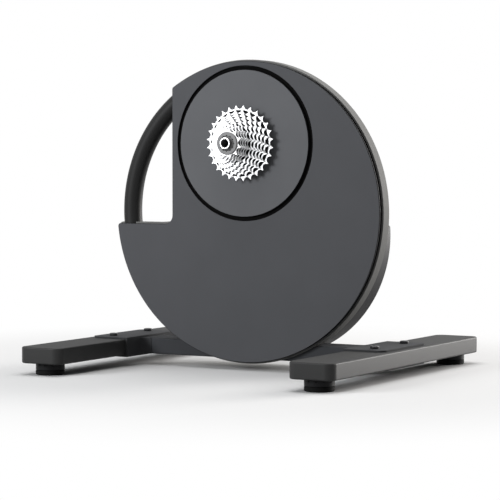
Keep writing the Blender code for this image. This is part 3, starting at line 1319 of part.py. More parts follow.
def build():
    """Make every piece and hang the moving ones on their axes."""
    clear_scene()
    make_base_beam()
    screw_index = 1
    for name, side in (("rear", -1), ("front", 1)):
        make_saddle(f"{name}_saddle", side)
        make_leg(f"{name}_leg", side)
        for place in screw_places(side):
            make_saddle_screw(screw_index, place)
            screw_index += 1
        for label, end in (("drive", -1), ("far", 1)):
            place = (side * LEG_CENTRE_X, end * FOOT_SPREAD_Y)
            foot = make_foot(f"{name}_{label}", place)
            joint_line(f"foot_line_{name}_{label}", (*place, 0.0), foot)
    for index, side in enumerate((-1, 1)):
        make_beam_bolt(index + 1, side)
    make_main_casting()
    make_drive_cover()
    make_pulley_cover()
    make_panel_seal()
    make_rim_band()
    make_notch_band()
    make_rear_cover()
    for index, (x, z, wall_y) in enumerate(cover_screw_places()):
        make_cover_screw(index + 1, x, z, wall_y)
    make_handle()
    make_hub_axle()
    make_drive_end_cap()
    make_far_end_cap()
    axle_place = (0.0, AXLE_HEIGHT)
    seat = AXLE_RADIUS + FIT
    inner_bearing = make_bearing("hub_bearing_inner", axle_place, HUB_BEARING_RADIUS, seat,
                                 PULLEY_HUB_BACK_Y - HUB_BEARING_WIDTH - FIT, HUB_BEARING_WIDTH)
    outer_bearing = make_bearing("hub_bearing_outer", axle_place, HUB_BEARING_RADIUS, seat,
                                 PULLEY_HUB_FRONT_Y + FIT, HUB_BEARING_WIDTH)
    hub = [make_drive_pulley(), inner_bearing, outer_bearing]
    joint_line("axle_line", (0.0, 0.0, AXLE_HEIGHT), hub)
    cassette = [make_freehub_body(), make_cog_cluster(), make_lockring()]
    for index in range(CLUSTER_COUNT, len(TEETH)):
        cassette.append(make_cog(index))
    bearing_front = FREEHUB_FRONT_Y + FREEHUB_THREAD_DEPTH + FIT
    cassette.append(make_bearing("freehub_bearing", axle_place, FREEHUB_BEARING_RADIUS, seat,
                                 bearing_front, FREEHUB_BEARING_WIDTH))
    joint_line("cassette_line", (0.0, 0.0, AXLE_HEIGHT), cassette)
    make_drive_belt()
    wheel = [make_flywheel(), make_flywheel_shaft(), make_shaft_pulley()]
    joint_line("shaft_line", (0.0, 0.0, SHAFT_HEIGHT), wheel)
    shaft_place = (0.0, SHAFT_HEIGHT)
    seat = SHAFT_RADIUS + FIT
    fronts = (PLATE_FRONT_Y + FIT, SHAFT_BOSS_END_Y - SHAFT_BEARING_WIDTH - FIT)
    for name, front in zip(("inner", "outer"), fronts):
        make_bearing(f"shaft_bearing_{name}", shaft_place, SHAFT_BEARING_RADIUS, seat, front,
                     SHAFT_BEARING_WIDTH)
    make_brake_core()
    for index, place in enumerate(pole_places()):
        make_brake_coil(index + 1, place)
    make_tensioner_bolt()
    arm = make_tensioner_arm()
    pivot_x, pivot_z = pivot_centre()
    joint_line("tensioner_line", (pivot_x, 0.0, pivot_z), [arm])
    idler = make_idler()
    idler_x, idler_z = idler_centre()
    joint_line("idler_line", (idler_x, 0.0, idler_z), [idler])
    make_control_board()
    make_power_inlet()


build()
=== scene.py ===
# %% [markdown]
# A direct-drive bicycle trainer
#
# The rear wheel of a bicycle is taken out and its frame stands on this machine instead. A round,
# notched body carries a cassette of sprockets, and inside it a belt drives a braked flywheel.
# The measured model is loaded first, as a fixed frame. Every piece made below sits on it, in
# metres: X runs forwards along the bicycle, -Y is the side with the chain, and Z is up from the
# floor.

# %% Load the measured model
import json
import math
from itertools import product

import bmesh
import bpy
from mathutils import Matrix, Vector

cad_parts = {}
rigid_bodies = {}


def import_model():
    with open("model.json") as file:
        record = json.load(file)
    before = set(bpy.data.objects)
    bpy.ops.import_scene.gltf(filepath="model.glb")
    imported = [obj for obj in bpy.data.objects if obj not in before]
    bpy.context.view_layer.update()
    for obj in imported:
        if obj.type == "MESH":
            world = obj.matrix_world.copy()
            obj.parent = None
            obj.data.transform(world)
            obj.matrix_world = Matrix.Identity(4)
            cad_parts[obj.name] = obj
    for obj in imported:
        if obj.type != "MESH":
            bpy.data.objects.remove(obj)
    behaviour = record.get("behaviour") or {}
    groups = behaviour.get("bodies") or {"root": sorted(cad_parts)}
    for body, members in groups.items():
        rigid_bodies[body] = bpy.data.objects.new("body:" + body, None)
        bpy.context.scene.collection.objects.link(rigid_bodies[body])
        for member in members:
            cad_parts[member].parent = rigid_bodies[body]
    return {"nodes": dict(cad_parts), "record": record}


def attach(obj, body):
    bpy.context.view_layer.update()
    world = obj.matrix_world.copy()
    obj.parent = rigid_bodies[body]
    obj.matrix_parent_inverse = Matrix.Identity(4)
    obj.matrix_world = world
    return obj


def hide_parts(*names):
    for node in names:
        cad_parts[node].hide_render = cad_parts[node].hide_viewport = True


for item in list(bpy.data.objects):
    bpy.data.objects.remove(item)
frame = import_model()

scene = bpy.context.scene
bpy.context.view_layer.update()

# %% [markdown]
# The photograph was taken low and from a distance with a long lens, about thirty degrees round from
# the chain side. A short lens nearer by would fill the frame just as well, but it would stretch the
# round body at its edges. The lamps are aimed in the same way as the camera, so one helper does
# both.

# %% Camera
CAMERA_PLACE = (1.65668, -2.94080, 0.34552)
CAMERA_TARGET = (0.01065, -0.035, 0.18744)
LENS_MM = 156.157
SENSOR_MM = 36.0
FARTHEST_SEEN = 40.0


def aim(thing, place, target):
    """Stand a camera or a lamp at the place, facing the target."""
    thing.location = place
    thing.rotation_mode = "QUATERNION"
    thing.rotation_quaternion = (Vector(target) - Vector(place)).to_track_quat("-Z", "Y")
    scene.collection.objects.link(thing)


camera_data = bpy.data.cameras.new("camera")
camera_data.lens = LENS_MM
camera_data.sensor_width = SENSOR_MM
camera_data.clip_end = FARTHEST_SEEN
camera = bpy.data.objects.new("camera", camera_data)
aim(camera, CAMERA_PLACE, CAMERA_TARGET)
scene.camera = camera
print("camera distance", round(math.dist(CAMERA_PLACE, CAMERA_TARGET), 3))

# %% [markdown]
# A material, the world or a Geometry Nodes tree is a list of nodes and links. With a line for every
# link, such a list is long and hard to follow. So the first helper adds a node, sets its
# properties, and joins or fills its inputs, and each tree below reads from top to bottom. The next
# three are steps of arithmetic. The last tells the rays that the camera and mirrors send out from
# the rays that carry light, because the background is white only to the former.

# %% Node helpers
def add(tree, kind, settings=None, **inputs):
    """Add a node. A socket among the inputs is joined, and anything else becomes its value."""
    node = tree.nodes.new(kind)
    for key, value in (settings or {}).items():
        setattr(node, key, value)
    for key, value in inputs.items():
        label = key.strip("_").replace("_", " ")
        socket = node.inputs[int(label)] if label.isdigit() else node.inputs[label]
        if isinstance(value, bpy.types.NodeSocket):
            tree.links.new(value, socket)
        else:
            socket.default_value = value
    return node


def maths(tree, operation, first, second=0.0):
    return add(tree, "ShaderNodeMath", {"operation": operation}, _0=first, _1=second).outputs[0]


def vector_maths(tree, operation, **inputs):
    node = add(tree, "ShaderNodeVectorMath", {"operation": operation}, **inputs)
    return node.outputs["Value" if operation == "LENGTH" else "Vector"]


def ramp(tree, value, start, end, low=0.0, high=1.0, kind="LINEAR"):
    """A number that goes from low to high while the value goes from start to end."""
    return add(tree, "ShaderNodeMapRange", {"interpolation_type": kind}, Value=value, _1=start,
               _2=end, _3=low, _4=high).outputs["Result"]


def looking(tree):
    """1 for a ray from the camera, a mirror or glass, and 0 for a ray that lights a surface."""
    ray = add(tree, "ShaderNodeLightPath").outputs
    mirrored = maths(tree, "MAXIMUM", ray["Is Glossy Ray"], ray["Is Transmission Ray"])
    return maths(tree, "MAXIMUM", ray["Is Camera Ray"], mirrored)


print("node helpers ready in Blender", bpy.app.version_string)

# %% [markdown]
# Product pictures use soft boxes. Sun or point lamps would give hard shadows, so all four lamps are
# large squares. The main one stands at the front left and lights the cover; it is also what the
# sprockets' faces mirror, so they shine. Two stand behind at the right: the high one brightens the
# edge of the disc, and the low one the side of the front leg. The largest hangs overhead and gives
# the shadow under the machine. The world is white to the camera and to reflections, and a dim grey
# to everything else.

# %% Lights and world
WORLD_GREY = 0.1
WHITE = (1.0, 1.0, 1.0, 1.0)


def soft_box(name, place, target, size, power, colour=WHITE[:3]):
    """A square soft light that faces the target."""
    data = bpy.data.lights.new(name, "AREA")
    data.shape = "SQUARE"
    data.size = size
    data.energy = power
    data.color = colour
    lamp = bpy.data.objects.new(name, data)
    lamp.visible_camera = False
    aim(lamp, place, target)


soft_box("light_front", (-1.05, -1.85, 0.85), (0.0, 0.0, 0.28), 0.8, 33.5, (0.97, 0.985, 1.0))
soft_box("light_back", (1.35, 2.4, 1.45), (0.1, 0.0, 0.2), 1.9, 52.0, (1.0, 0.98, 0.96))
soft_box("light_low", (1.40, 2.35, 0.50), (0.15, 0.0, 0.1), 0.9, 62.0, (1.0, 0.975, 0.95))
soft_box("light_top", (0.0, 0.0, 2.6), (0.0, 0.0, 0.2), 2.4, 55.0)

world = bpy.data.worlds.new("studio")
scene.world = world
world.use_nodes = True
sky = world.node_tree
sky.nodes.clear()
dim = add(sky, "ShaderNodeBackground", Color=WHITE, Strength=WORLD_GREY)
white = add(sky, "ShaderNodeBackground", Color=WHITE, Strength=1.0)
chosen = add(sky, "ShaderNodeMixShader", _0=looking(sky), _1=dim.outputs[0], _2=white.outputs[0])
add(sky, "ShaderNodeOutputWorld", Surface=chosen.outputs[0])
scene.view_settings.view_transform = "Standard"

# %% [markdown]
# Nearly every surface here is coated or machined, so one recipe serves them all. Images of real
# surfaces could do it too, but a pattern that nodes work out stays sharp from near and needs no
# files. A fine noise gives the grain of a powder coat, a moulding or a brushed sheet: it moves the
# colour a little, the roughness a little, and raises a relief of a few hundredths of a millimetre.
# A broad, weak noise adds the slow change of tone that a large sheet has. Stretching the fine noise
# gives brush lines, and measuring it by the distance from an axis gives the rings that a lathe
# leaves.

# %% Finish recipe
AXLE_HEIGHT = 0.3516
SHAFT_HEIGHT = 0.1235
BROAD_SCALE = 14.0
ROUGHNESS_SWING = 0.05
TOP_ROUGHER = 0.3
TOP_FADE = 0.002
BUMP_STRENGTH = 0.8
finishes = {}


def finish(slot, colour, roughness, metallic=0.0, specular=0.5, scale=1500.0,
           stretch=(1.0, 1.0, 1.0), relief=0.00002, speck=0.10, mottle=0.08, spun=None,
           rough_above=None):
    """A material with grain, with turning rings round the height spun, or rougher on its top."""
    material = bpy.data.materials.new(slot)
    material.use_nodes = True
    tree = material.node_tree
    tree.nodes.clear()

    def swing(noise, middle, reach):
        """The noise as a number that moves by the reach to both sides of the middle."""
        return ramp(tree, noise.outputs["Fac"], 0.25, 0.75, middle - reach, middle + reach)

    place = add(tree, "ShaderNodeTexCoord").outputs["Object"]
    if spun is None:
        along = add(tree, "ShaderNodeMapping", Vector=place, Scale=stretch).outputs["Vector"]
    else:
        level = add(tree, "ShaderNodeMapping", Vector=place, Location=(0.0, 0.0, -spun),
                    Scale=(1.0, 0.0, 1.0))
        away = vector_maths(tree, "LENGTH", Vector=level.outputs["Vector"])
        depth = add(tree, "ShaderNodeSeparateXYZ", Vector=place).outputs["Y"]
        along = add(tree, "ShaderNodeCombineXYZ", X=away, Y=depth).outputs["Vector"]
    fine = add(tree, "ShaderNodeTexNoise", Vector=along, Scale=scale, Detail=3.0, Roughness=0.6)
    broad = add(tree, "ShaderNodeTexNoise", Vector=place, Scale=BROAD_SCALE, Detail=2.0)
    tone = maths(tree, "MULTIPLY", swing(fine, 1.0, speck / 2), swing(broad, 1.0, mottle / 2))
    tinted = vector_maths(tree, "SCALE", Vector=colour, Scale=tone)
    dull = swing(fine, roughness, ROUGHNESS_SWING)
    if rough_above:
        height = add(tree, "ShaderNodeSeparateXYZ", Vector=place).outputs["Z"]
        topmost = ramp(tree, height, rough_above - TOP_FADE, rough_above, 0.0, TOP_ROUGHER)
        dull = maths(tree, "ADD", dull, topmost)
    bump = add(tree, "ShaderNodeBump", Height=fine.outputs["Fac"], Distance=relief,
               Strength=BUMP_STRENGTH)
    shader = add(tree, "ShaderNodeBsdfPrincipled", Base_Color=tinted, Roughness=dull,
                 Normal=bump.outputs["Normal"], Metallic=metallic, Specular_IOR_Level=specular)
    add(tree, "ShaderNodeOutputMaterial", Surface=shader.outputs["BSDF"])
    finishes[slot] = material


print("turning rings lie round heights of", AXLE_HEIGHT, "and", SHAFT_HEIGHT, "m")

# %% [markdown]
# The cover, the legs and the beam are powder coated in greys, and the legs' top is a little rougher
# than their sides. The band round the disc is a pale brushed strip, the sprockets are bright plated
# steel, and the feet are rubber under notched plastic knobs. Each call makes one finish: its colour
# and its roughness are fitted to the photograph, and the rest says how much grain and relief it
# has. The measured solids inside the body take these finishes too.

# %% Coats, metals and plastics
LEG_TOP = 0.043
finish("cover_coat", (0.084, 0.086, 0.093), 0.62, specular=0.15)
finish("panel_coat", (0.128, 0.131, 0.139), 0.62, specular=0.15)
finish("leg_coat", (0.024, 0.024, 0.024), 0.44, specular=0.24, rough_above=LEG_TOP - 0.0002)
finish("saddle_coat", (0.050, 0.051, 0.054), 0.82, specular=0.1)
finish("beam_coat", (0.056, 0.058, 0.063), 0.78, specular=0.1)
finish("casting_coat", (0.008, 0.008, 0.009), 0.6, specular=0.1)
finish("handle_coat", (0.011, 0.011, 0.011), 0.5, specular=0.18, speck=0.2)
finish("band_metal", (0.18, 0.18, 0.176), 0.65, specular=0.08, stretch=(0.02, 1.0, 0.02),
       scale=3000.0)
finish("rear_plastic", (0.022, 0.022, 0.024), 0.55, specular=0.2, scale=900.0, relief=0.00004)
finish("knob_plastic", (0.008, 0.008, 0.009), 0.45, specular=0.12)
finish("foot_rubber", (0.007, 0.007, 0.007), 0.78, specular=0.1, scale=700.0, relief=0.00005)
finish("seal_rubber", (0.004, 0.004, 0.004), 0.85, specular=0.05)
finish("black_steel", (0.020, 0.020, 0.022), 0.32, 0.5, specular=0.3)
finish("axle_steel", (0.42, 0.42, 0.43), 0.3, 1.0, spun=AXLE_HEIGHT, scale=4000.0)
finish("cap_steel", (0.80, 0.80, 0.81), 0.2, 1.0, spun=AXLE_HEIGHT, scale=4000.0, speck=0.06)
finish("cog_steel", (0.84, 0.84, 0.85), 0.36, 0.35, 0.2, scale=900.0, speck=0.06, mottle=0.04)
finish("lockring_steel", (0.13, 0.13, 0.132), 0.5, 0.5, spun=AXLE_HEIGHT, scale=5000.0)
finish("pulley_alloy", (0.50, 0.50, 0.51), 0.35, 1.0, spun=AXLE_HEIGHT, scale=3000.0)
finish("flywheel_steel", (0.32, 0.32, 0.33), 0.33, 1.0, spun=SHAFT_HEIGHT, scale=3000.0)
finish("core_iron", (0.13, 0.13, 0.14), 0.55, 0.9, scale=600.0, relief=0.00006)
finish("coil_copper", (0.60, 0.25, 0.11), 0.35, 0.9, stretch=(0.1, 1.0, 0.1), scale=2200.0)
finish("board_green", (0.012, 0.085, 0.035), 0.4, scale=500.0, speck=0.3)
for entry in frame["record"]["subparts"]:
    solid = frame["nodes"][entry["node"]]
    solid.data.materials.clear()
    solid.data.materials.append(finishes[entry["material_slot"]])
print("finishes:", len(finishes))

# %% [markdown]
# The body is one outline at several sizes: a circle with a notch cut out of its rear upper side,
# where the hand reaches the handle. The cover, the band, the wall inside it and the rear tray are
# that outline grown or shrunk by a few millimetres. Each could be drawn by itself, but then the
# gaps between them would come out uneven, so the outline is written once, with the offset given.

# %% Outlines
DISC_RADIUS = 0.23275
DISC_HEIGHT = 0.2455
NOTCH_WALL_X = -0.130
NOTCH_LEDGE_DROP = 0.0205
NOTCH_CORNER = 0.0045
NOTCH_FILLET = 0.014
SHARPEST = 0.0004
AXLE = (0.0, AXLE_HEIGHT)


def arc(centre, radius, start, end, steps):
    """Points along an arc, from the start angle to the end angle in degrees."""
    turns = [math.radians(start + (end - start) * step / steps) for step in range(steps + 1)]
    return [(centre[0] + radius * math.cos(a), centre[1] + radius * math.sin(a)) for a in turns]


def circle(radius, steps, centre=(0.0, 0.0)):
    return arc(centre, radius, 0.0, 360.0, steps)[:-1]


def rounded_box(half_width, half_height, corner, centre, steps):
    """A rectangle with round corners."""
    points = []
    for index, (right, up) in enumerate(((1, 1), (-1, 1), (-1, -1), (1, -1))):
        middle = (centre[0] + right * (half_width - corner),
                  centre[1] + up * (half_height - corner))
        points += arc(middle, corner, 90.0 * index, 90.0 * (index + 1), steps)
    return points


def notched_disc(offset, steps=190, corner_steps=6, fillet_steps=10):
    """The body's outline in X and Z, grown outwards by the offset."""
    radius = DISC_RADIUS + offset
    corner = max(NOTCH_CORNER + offset, SHARPEST)
    fillet = max(NOTCH_FILLET - offset, SHARPEST)
    wall_x = NOTCH_WALL_X - offset
    ledge = offset - NOTCH_LEDGE_DROP
    left_z = ledge - corner
    left_x = -math.sqrt((radius - corner) ** 2 - left_z ** 2)
    left_angle = math.degrees(math.atan2(left_z, left_x)) % 360.0
    top_x = wall_x + corner
    top_z = math.sqrt((radius - corner) ** 2 - top_x ** 2)
    top_angle = math.degrees(math.atan2(top_z, top_x))
    points = arc((0.0, 0.0), radius, left_angle, 360.0 + top_angle, steps)
    points += arc((top_x, top_z), corner, top_angle, 180.0, corner_steps)[1:]
    points += arc((wall_x - fillet, ledge + fillet), fillet, 0.0, -90.0, fillet_steps)
    points += arc((left_x, left_z), corner, 90.0, left_angle, corner_steps)[:-1]
    return [(x, z + DISC_HEIGHT) for x, z in points]


print("outline points:", len(notched_disc(0.0)))

# %% [markdown]
# A piece is worked on as a mesh, and becomes an object only at the end. Modifiers could stay on
# their objects, but when they are baked at once, the next step has a plain mesh to work on. The
# other helpers make a mesh of a shape that is built in code, and weld a mesh and turn its faces
# outwards.

# %% Mesh helpers
WELD = 0.000002


def baked(holder):
    """The finished mesh of an object with its modifiers, after which the object is thrown away."""
    scene.collection.objects.link(holder)
    bpy.context.view_layer.update()
    graph = bpy.context.evaluated_depsgraph_get()
    mesh = bpy.data.meshes.new_from_object(holder.evaluated_get(graph))
    bpy.data.objects.remove(holder)
    return mesh


def as_mesh(shape, name):
    mesh = bpy.data.meshes.new(name)
    shape.to_mesh(mesh)
    shape.free()
    return mesh


def weld(mesh):
    """Merge points that meet, and turn every face outwards."""
    shape = bmesh.new()
    shape.from_mesh(mesh)
    bmesh.ops.remove_doubles(shape, verts=shape.verts, dist=WELD)
    bmesh.ops.recalc_face_normals(shape, faces=shape.faces)
    shape.to_mesh(mesh)
    shape.free()
    return mesh


print("points nearer than", 1000 * WELD, "mm are merged")

# %% [markdown]
# A flat piece could be cut from a cube, but a filled curve gives a clean plate with rounded edges
# and holes in one go. The curve is drawn lying down, and then laid across the axis along which the
# plate is thin.

# %% Plates
LAID = {
    "x": Matrix(((0, 0, 1, 0), (1, 0, 0, 0), (0, 1, 0, 0), (0, 0, 0, 1))),
    "y": Matrix(((1, 0, 0, 0), (0, 0, -1, 0), (0, 1, 0, 0), (0, 0, 0, 1))),
    "z": Matrix.Identity(4),
}
AXIS = {"x": Vector((1, 0, 0)), "y": Vector((0, 1, 0)), "z": Vector((0, 0, 1))}


def flat(loops, low, high, edge=0.0, along="y", rounds=2):
    """A plate inside the first outline and outside the others, from low to high along one axis."""
    curve = bpy.data.curves.new("flat", "CURVE")
    curve.dimensions = "2D"
    curve.fill_mode = "BOTH"
    curve.extrude = (high - low) / 2 - edge
    curve.bevel_depth = edge
    curve.bevel_resolution = rounds if edge else 0
    curve.offset = -edge
    for number, loop in enumerate(loops):
        points = loop if number == 0 else loop[::-1]
        spline = curve.splines.new("POLY")
        spline.points.add(len(points) - 1)
        for point, place in zip(spline.points, points):
            point.co = (place[0], place[1], 0.0, 1.0)
        spline.use_cyclic_u = True
    mesh = baked(bpy.data.objects.new("flat", curve))
    mesh.transform(Matrix.Translation(AXIS[along] * (low + high) / 2) @ LAID[along])
    return weld(mesh)


print("plates can be laid across", ", ".join(LAID))

# %% [markdown]
# Turned pieces are a profile swept round an axis, as on a lathe. The Screw modifier does that too.
# Here the rings are made in code, so that a point on the axis stays a single point, and a profile
# that closes on itself gives a ring or a tube. Rods and slabs are plain shapes that serve only for
# cutting.

# %% Turned shapes
WIDER_THAN_BODY = 0.24


def lathe(profile, place, steps=96, along="y", closed=False):
    """Sweep (radius, position) points round an axis that stands at the place."""
    shape = bmesh.new()
    rings = []
    for radius, position in profile:
        count = steps if radius > 0.0 else 1
        rings.append([shape.verts.new((*point, position)) for point in circle(radius, count)])
    pairs = list(zip(rings, rings[1:])) + ([(rings[-1], rings[0])] if closed else [])
    for first, second in pairs:
        for index in range(steps):
            corners = [first[index % len(first)], first[(index + 1) % len(first)],
                       second[(index + 1) % len(second)], second[index % len(second)]]
            corners = list(dict.fromkeys(corners))
            if len(corners) > 2:
                shape.faces.new(corners)
    mesh = as_mesh(shape, "lathe")
    if along == "y":
        mesh.transform(Matrix(((1, 0, 0, place[0]), (0, 0, 1, 0), (0, 1, 0, place[1]),
                               (0, 0, 0, 1))))
    else:
        mesh.transform(Matrix.Translation((place[0], place[1], 0.0)))
    return weld(mesh)


def hollow(profile, steps=96):
    """A ring or a tube round the axle, whose profile closes on itself."""
    return lathe(profile, AXLE, steps, closed=True)


def rod(radius, low, high, place, steps, along="y"):
    return lathe([(0.0, low), (radius, low), (radius, high), (0.0, high)], place, steps, along)


def slab(depths, heights):
    """A box wider than the body, between two values of Y and two of Z."""
    shape = bmesh.new()
    bmesh.ops.create_cube(shape, size=1.0)
    mesh = as_mesh(shape, "slab")
    low = Vector((-WIDER_THAN_BODY, depths[0], heights[0]))
    high = Vector((WIDER_THAN_BODY, depths[1], heights[1]))
    mesh.transform(Matrix.Translation((low + high) / 2) @ Matrix.Diagonal((*(high - low), 1.0)))
    return mesh


print("a slab is", 2 * WIDER_THAN_BODY, "m wide, and the body", 2 * DISC_RADIUS, "m")

# %% [markdown]
# Booleans join or cut the shapes. A hole straight through a plate can be part of its outline, and
# one that is blind or comes from another side needs a cutter. The last helper settles a piece: it
# welds it, softens its edges, bakes its modifiers, and hands it over to the body that it rides on
# and to the solids that it stands for. Nearly every piece rides on the frame.

# %% Joining and settling
SHARP_ANGLE = math.radians(35.0)


def combine(mesh, tools, operation="DIFFERENCE"):
    """Cut the tools out of a mesh, or join them to it."""
    holder = bpy.data.objects.new("work", mesh)
    helpers = []
    for tool in tools:
        helper = bpy.data.objects.new("tool", tool)
        scene.collection.objects.link(helper)
        helpers.append(helper)
        step = holder.modifiers.new("step", "BOOLEAN")
        step.operation = operation
        step.solver = "EXACT"
        step.object = helper
    result = baked(holder)
    for helper in helpers:
        bpy.data.objects.remove(helper)
    return result


def joined(meshes):
    """Several meshes in one, each keeping its own closed skin."""
    shape = bmesh.new()
    for mesh in meshes:
        shape.from_mesh(mesh)
    return as_mesh(shape, "joined")


def settle(mesh, name, slot, nodes=(), soften=0.0, body="frame"):
    """Finish a piece: welded, smooth, edges softened, baked, coloured, and riding on its body."""
    weld(mesh)
    mesh.shade_smooth()
    mesh.set_sharp_from_angle(angle=SHARP_ANGLE)
    holder = bpy.data.objects.new(name, mesh)
    if soften:
        bevel = holder.modifiers.new("soften", "BEVEL")
        bevel.width = soften
        bevel.segments = 2
        bevel.limit_method = "ANGLE"
        bevel.angle_limit = SHARP_ANGLE
        bevel.harden_normals = True
    weighted = holder.modifiers.new("even", "WEIGHTED_NORMAL")
    weighted.keep_sharp = True
    piece = bpy.data.objects.new(name, baked(holder))
    piece.data.materials.clear()
    piece.data.materials.append(finishes[slot])
    scene.collection.objects.link(piece)
    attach(piece, body)
    if nodes:
        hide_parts(*nodes)
    triangles = sum(len(face.vertices) - 2 for face in piece.data.polygons)
    print("made", name, triangles, "triangles")


print("edges sharper than", round(math.degrees(SHARP_ANGLE)), "degrees stay crisp or are softened")

# %% [markdown]
# The cover is a thin pressed disc, and a black backing behind it shows as a fine line round every
# edge. That line is painted shade: it stands for the dark that the cover's rounded edge takes where
# it turns from the lamps. A round panel stands two millimetres proud in its window, with a dark
# groove between them, and the sprockets come out through its middle. A line of black colour on one
# solid would be quicker, but it would stay flat, so each is a face sheet in grey and a rounded
# black edge of its own, which catch the light at their edges.

# %% Cover and round panel
COVER_FACE_Y = -0.035
PANEL_FACE_Y = -0.037
SHADE_BACKING_Y = -0.032
SHEET_THICKNESS = 0.0012
SHEET_BEVEL = 0.0003
SHEET_PROUD = 0.0004
SHEET_INSET = 0.0007
COVER_SHADE_ROUND = 0.0007
PANEL_SHADE_ROUND = 0.0004
GROOVE_RADIUS = 0.1195
GROOVE_MARGIN = 0.0004
PANEL_RADIUS = 0.113
PANEL_MARGIN = 0.0002
HUB_WINDOW_RADIUS = 0.0246
WINDOW_MARGIN = 0.0001
WINDOW_SIDES = 64
SEAL_OUTER_RADIUS = 0.1245
SEAL_INNER_RADIUS = 0.108
SEAL_INSET = 0.0083
SEAL_FRONT_Y = -0.0317
SEAL_BACK_Y = -0.0297
SEAL_CUTTER = (-0.04, -0.02)


def round_the_axle(radius, steps=160):
    return circle(radius, steps, AXLE)


def faced(name, node, slot, face_y, sheet_loops, shade_rim_loops, edge):
    """A grey face sheet, and a black backing round it, which is painted shade on its edge."""
    sheet = flat(sheet_loops, face_y, face_y + SHEET_THICKNESS, SHEET_BEVEL)
    settle(sheet, name, slot, [node])
    # The black backing is painted shade for the dark on the sheet's rounded edge.
    shade_backing = flat(shade_rim_loops, face_y + SHEET_PROUD, SHADE_BACKING_Y, edge)
    settle(shade_backing, name + "_edge", "casting_coat")


faced("cover", "drive_cover", "cover_coat", COVER_FACE_Y,
      [notched_disc(-SHEET_INSET), round_the_axle(GROOVE_RADIUS + GROOVE_MARGIN)],
      [notched_disc(0.0), round_the_axle(GROOVE_RADIUS)], COVER_SHADE_ROUND)
faced("panel", "pulley_cover", "panel_coat", PANEL_FACE_Y,
      [round_the_axle(PANEL_RADIUS - PANEL_MARGIN),
       round_the_axle(HUB_WINDOW_RADIUS - WINDOW_MARGIN, WINDOW_SIDES)],
      [round_the_axle(PANEL_RADIUS), round_the_axle(HUB_WINDOW_RADIUS, WINDOW_SIDES)], PANEL_SHADE_ROUND)
seal_loops = [round_the_axle(SEAL_OUTER_RADIUS), round_the_axle(SEAL_INNER_RADIUS)]
seal = combine(flat(seal_loops, SEAL_FRONT_Y, SEAL_BACK_Y),
               [flat([notched_disc(-SEAL_INSET)], *SEAL_CUTTER)], "INTERSECT")
settle(seal, "groove_seal", "seal_rubber", ["panel_seal"])

# %% [markdown]
# The handle is one bent tube that follows the missing part of the disc's edge and runs into sockets
# in both walls of the notch. A curve with a bevel would make it as well. Rings set along the arc
# are used, because the same function also makes the thicker cutters for its sockets. The pale band
# wraps the edge behind the cover, and is cut away for the handle's ends and for the beam that
# passes under the body.

# %% Handle and band
FIT = 0.0003
HANDLE_ARC_RADIUS = 0.2144
HANDLE_Y = -0.0165
HANDLE_TUBE_RADIUS = 0.0145
HANDLE_INSERT = 0.021
BAND_PROUD = 0.00234
BAND_INSET = 0.001
BAND_FRONT_Y = -0.0265
BAND_BACK_Y = -0.0070
BAND_EDGE = 0.0005
BAND_CUT_EXTRA = 0.003
BAND_CUT_BACK_Y = 0.005
BELOW_FLOOR = -0.01
BEAM_MIDDLE_Y = 0.003
BEAM_HALF_WIDTH = 0.027
TUNNEL_FRONT_Y = BEAM_MIDDLE_Y - BEAM_HALF_WIDTH - FIT
TUNNEL_BACK_Y = BEAM_MIDDLE_Y + BEAM_HALF_WIDTH + FIT
TUNNEL_TOP = LEG_TOP + FIT
wall_angle = math.degrees(math.acos(NOTCH_WALL_X / HANDLE_ARC_RADIUS))
ledge_angle = 180.0 + math.degrees(math.asin(NOTCH_LEDGE_DROP / HANDLE_ARC_RADIUS))


def handle_tube(radius, insert, around=40, along=72):
    """A tube on the handle's arc whose ends reach that far into the walls of the notch."""
    extra = math.degrees(insert / HANDLE_ARC_RADIUS)
    shape = bmesh.new()
    rings = []
    path = arc((0.0, 0.0), 1.0, wall_angle - extra, ledge_angle + extra, along)
    for out_x, out_z in path:
        ring = []
        for turn_cos, turn_sin in circle(radius, around):
            reach = HANDLE_ARC_RADIUS + turn_cos
            ring.append(shape.verts.new((out_x * reach, HANDLE_Y + turn_sin,
                                         DISC_HEIGHT + out_z * reach)))
        rings.append(ring)
    for first, second in zip(rings, rings[1:]):
        for index in range(around):
            after = (index + 1) % around
            shape.faces.new((first[index], first[after], second[after], second[index]))
    shape.faces.new(rings[0])
    shape.faces.new(rings[-1])
    return weld(as_mesh(shape, "tube"))


settle(handle_tube(HANDLE_TUBE_RADIUS, HANDLE_INSERT), "handle", "handle_coat", ["handle_tube"])
band = flat([notched_disc(BAND_PROUD), notched_disc(-BAND_INSET)], BAND_FRONT_Y, BAND_BACK_Y,
            BAND_EDGE)
band = combine(band, [handle_tube(HANDLE_TUBE_RADIUS + FIT, HANDLE_INSERT + BAND_CUT_EXTRA),
                      slab((TUNNEL_FRONT_Y, BAND_CUT_BACK_Y), (BELOW_FLOOR, TUNNEL_TOP))])
settle(band, "edge_band", "band_metal", ["rim_band", "notch_band"])

# %% [markdown]
# Each leg is a flat die-cast bar as long as the machine is wide, with round corners, softened edges
# and open pockets underneath that save weight. A subdivided block would be soft too, but its long
# sides would swell, so the bar is an outline with arcs at its corners and a bevel round it. Studs
# of the feet and screws of the saddles go into it, so their holes are cut as well.

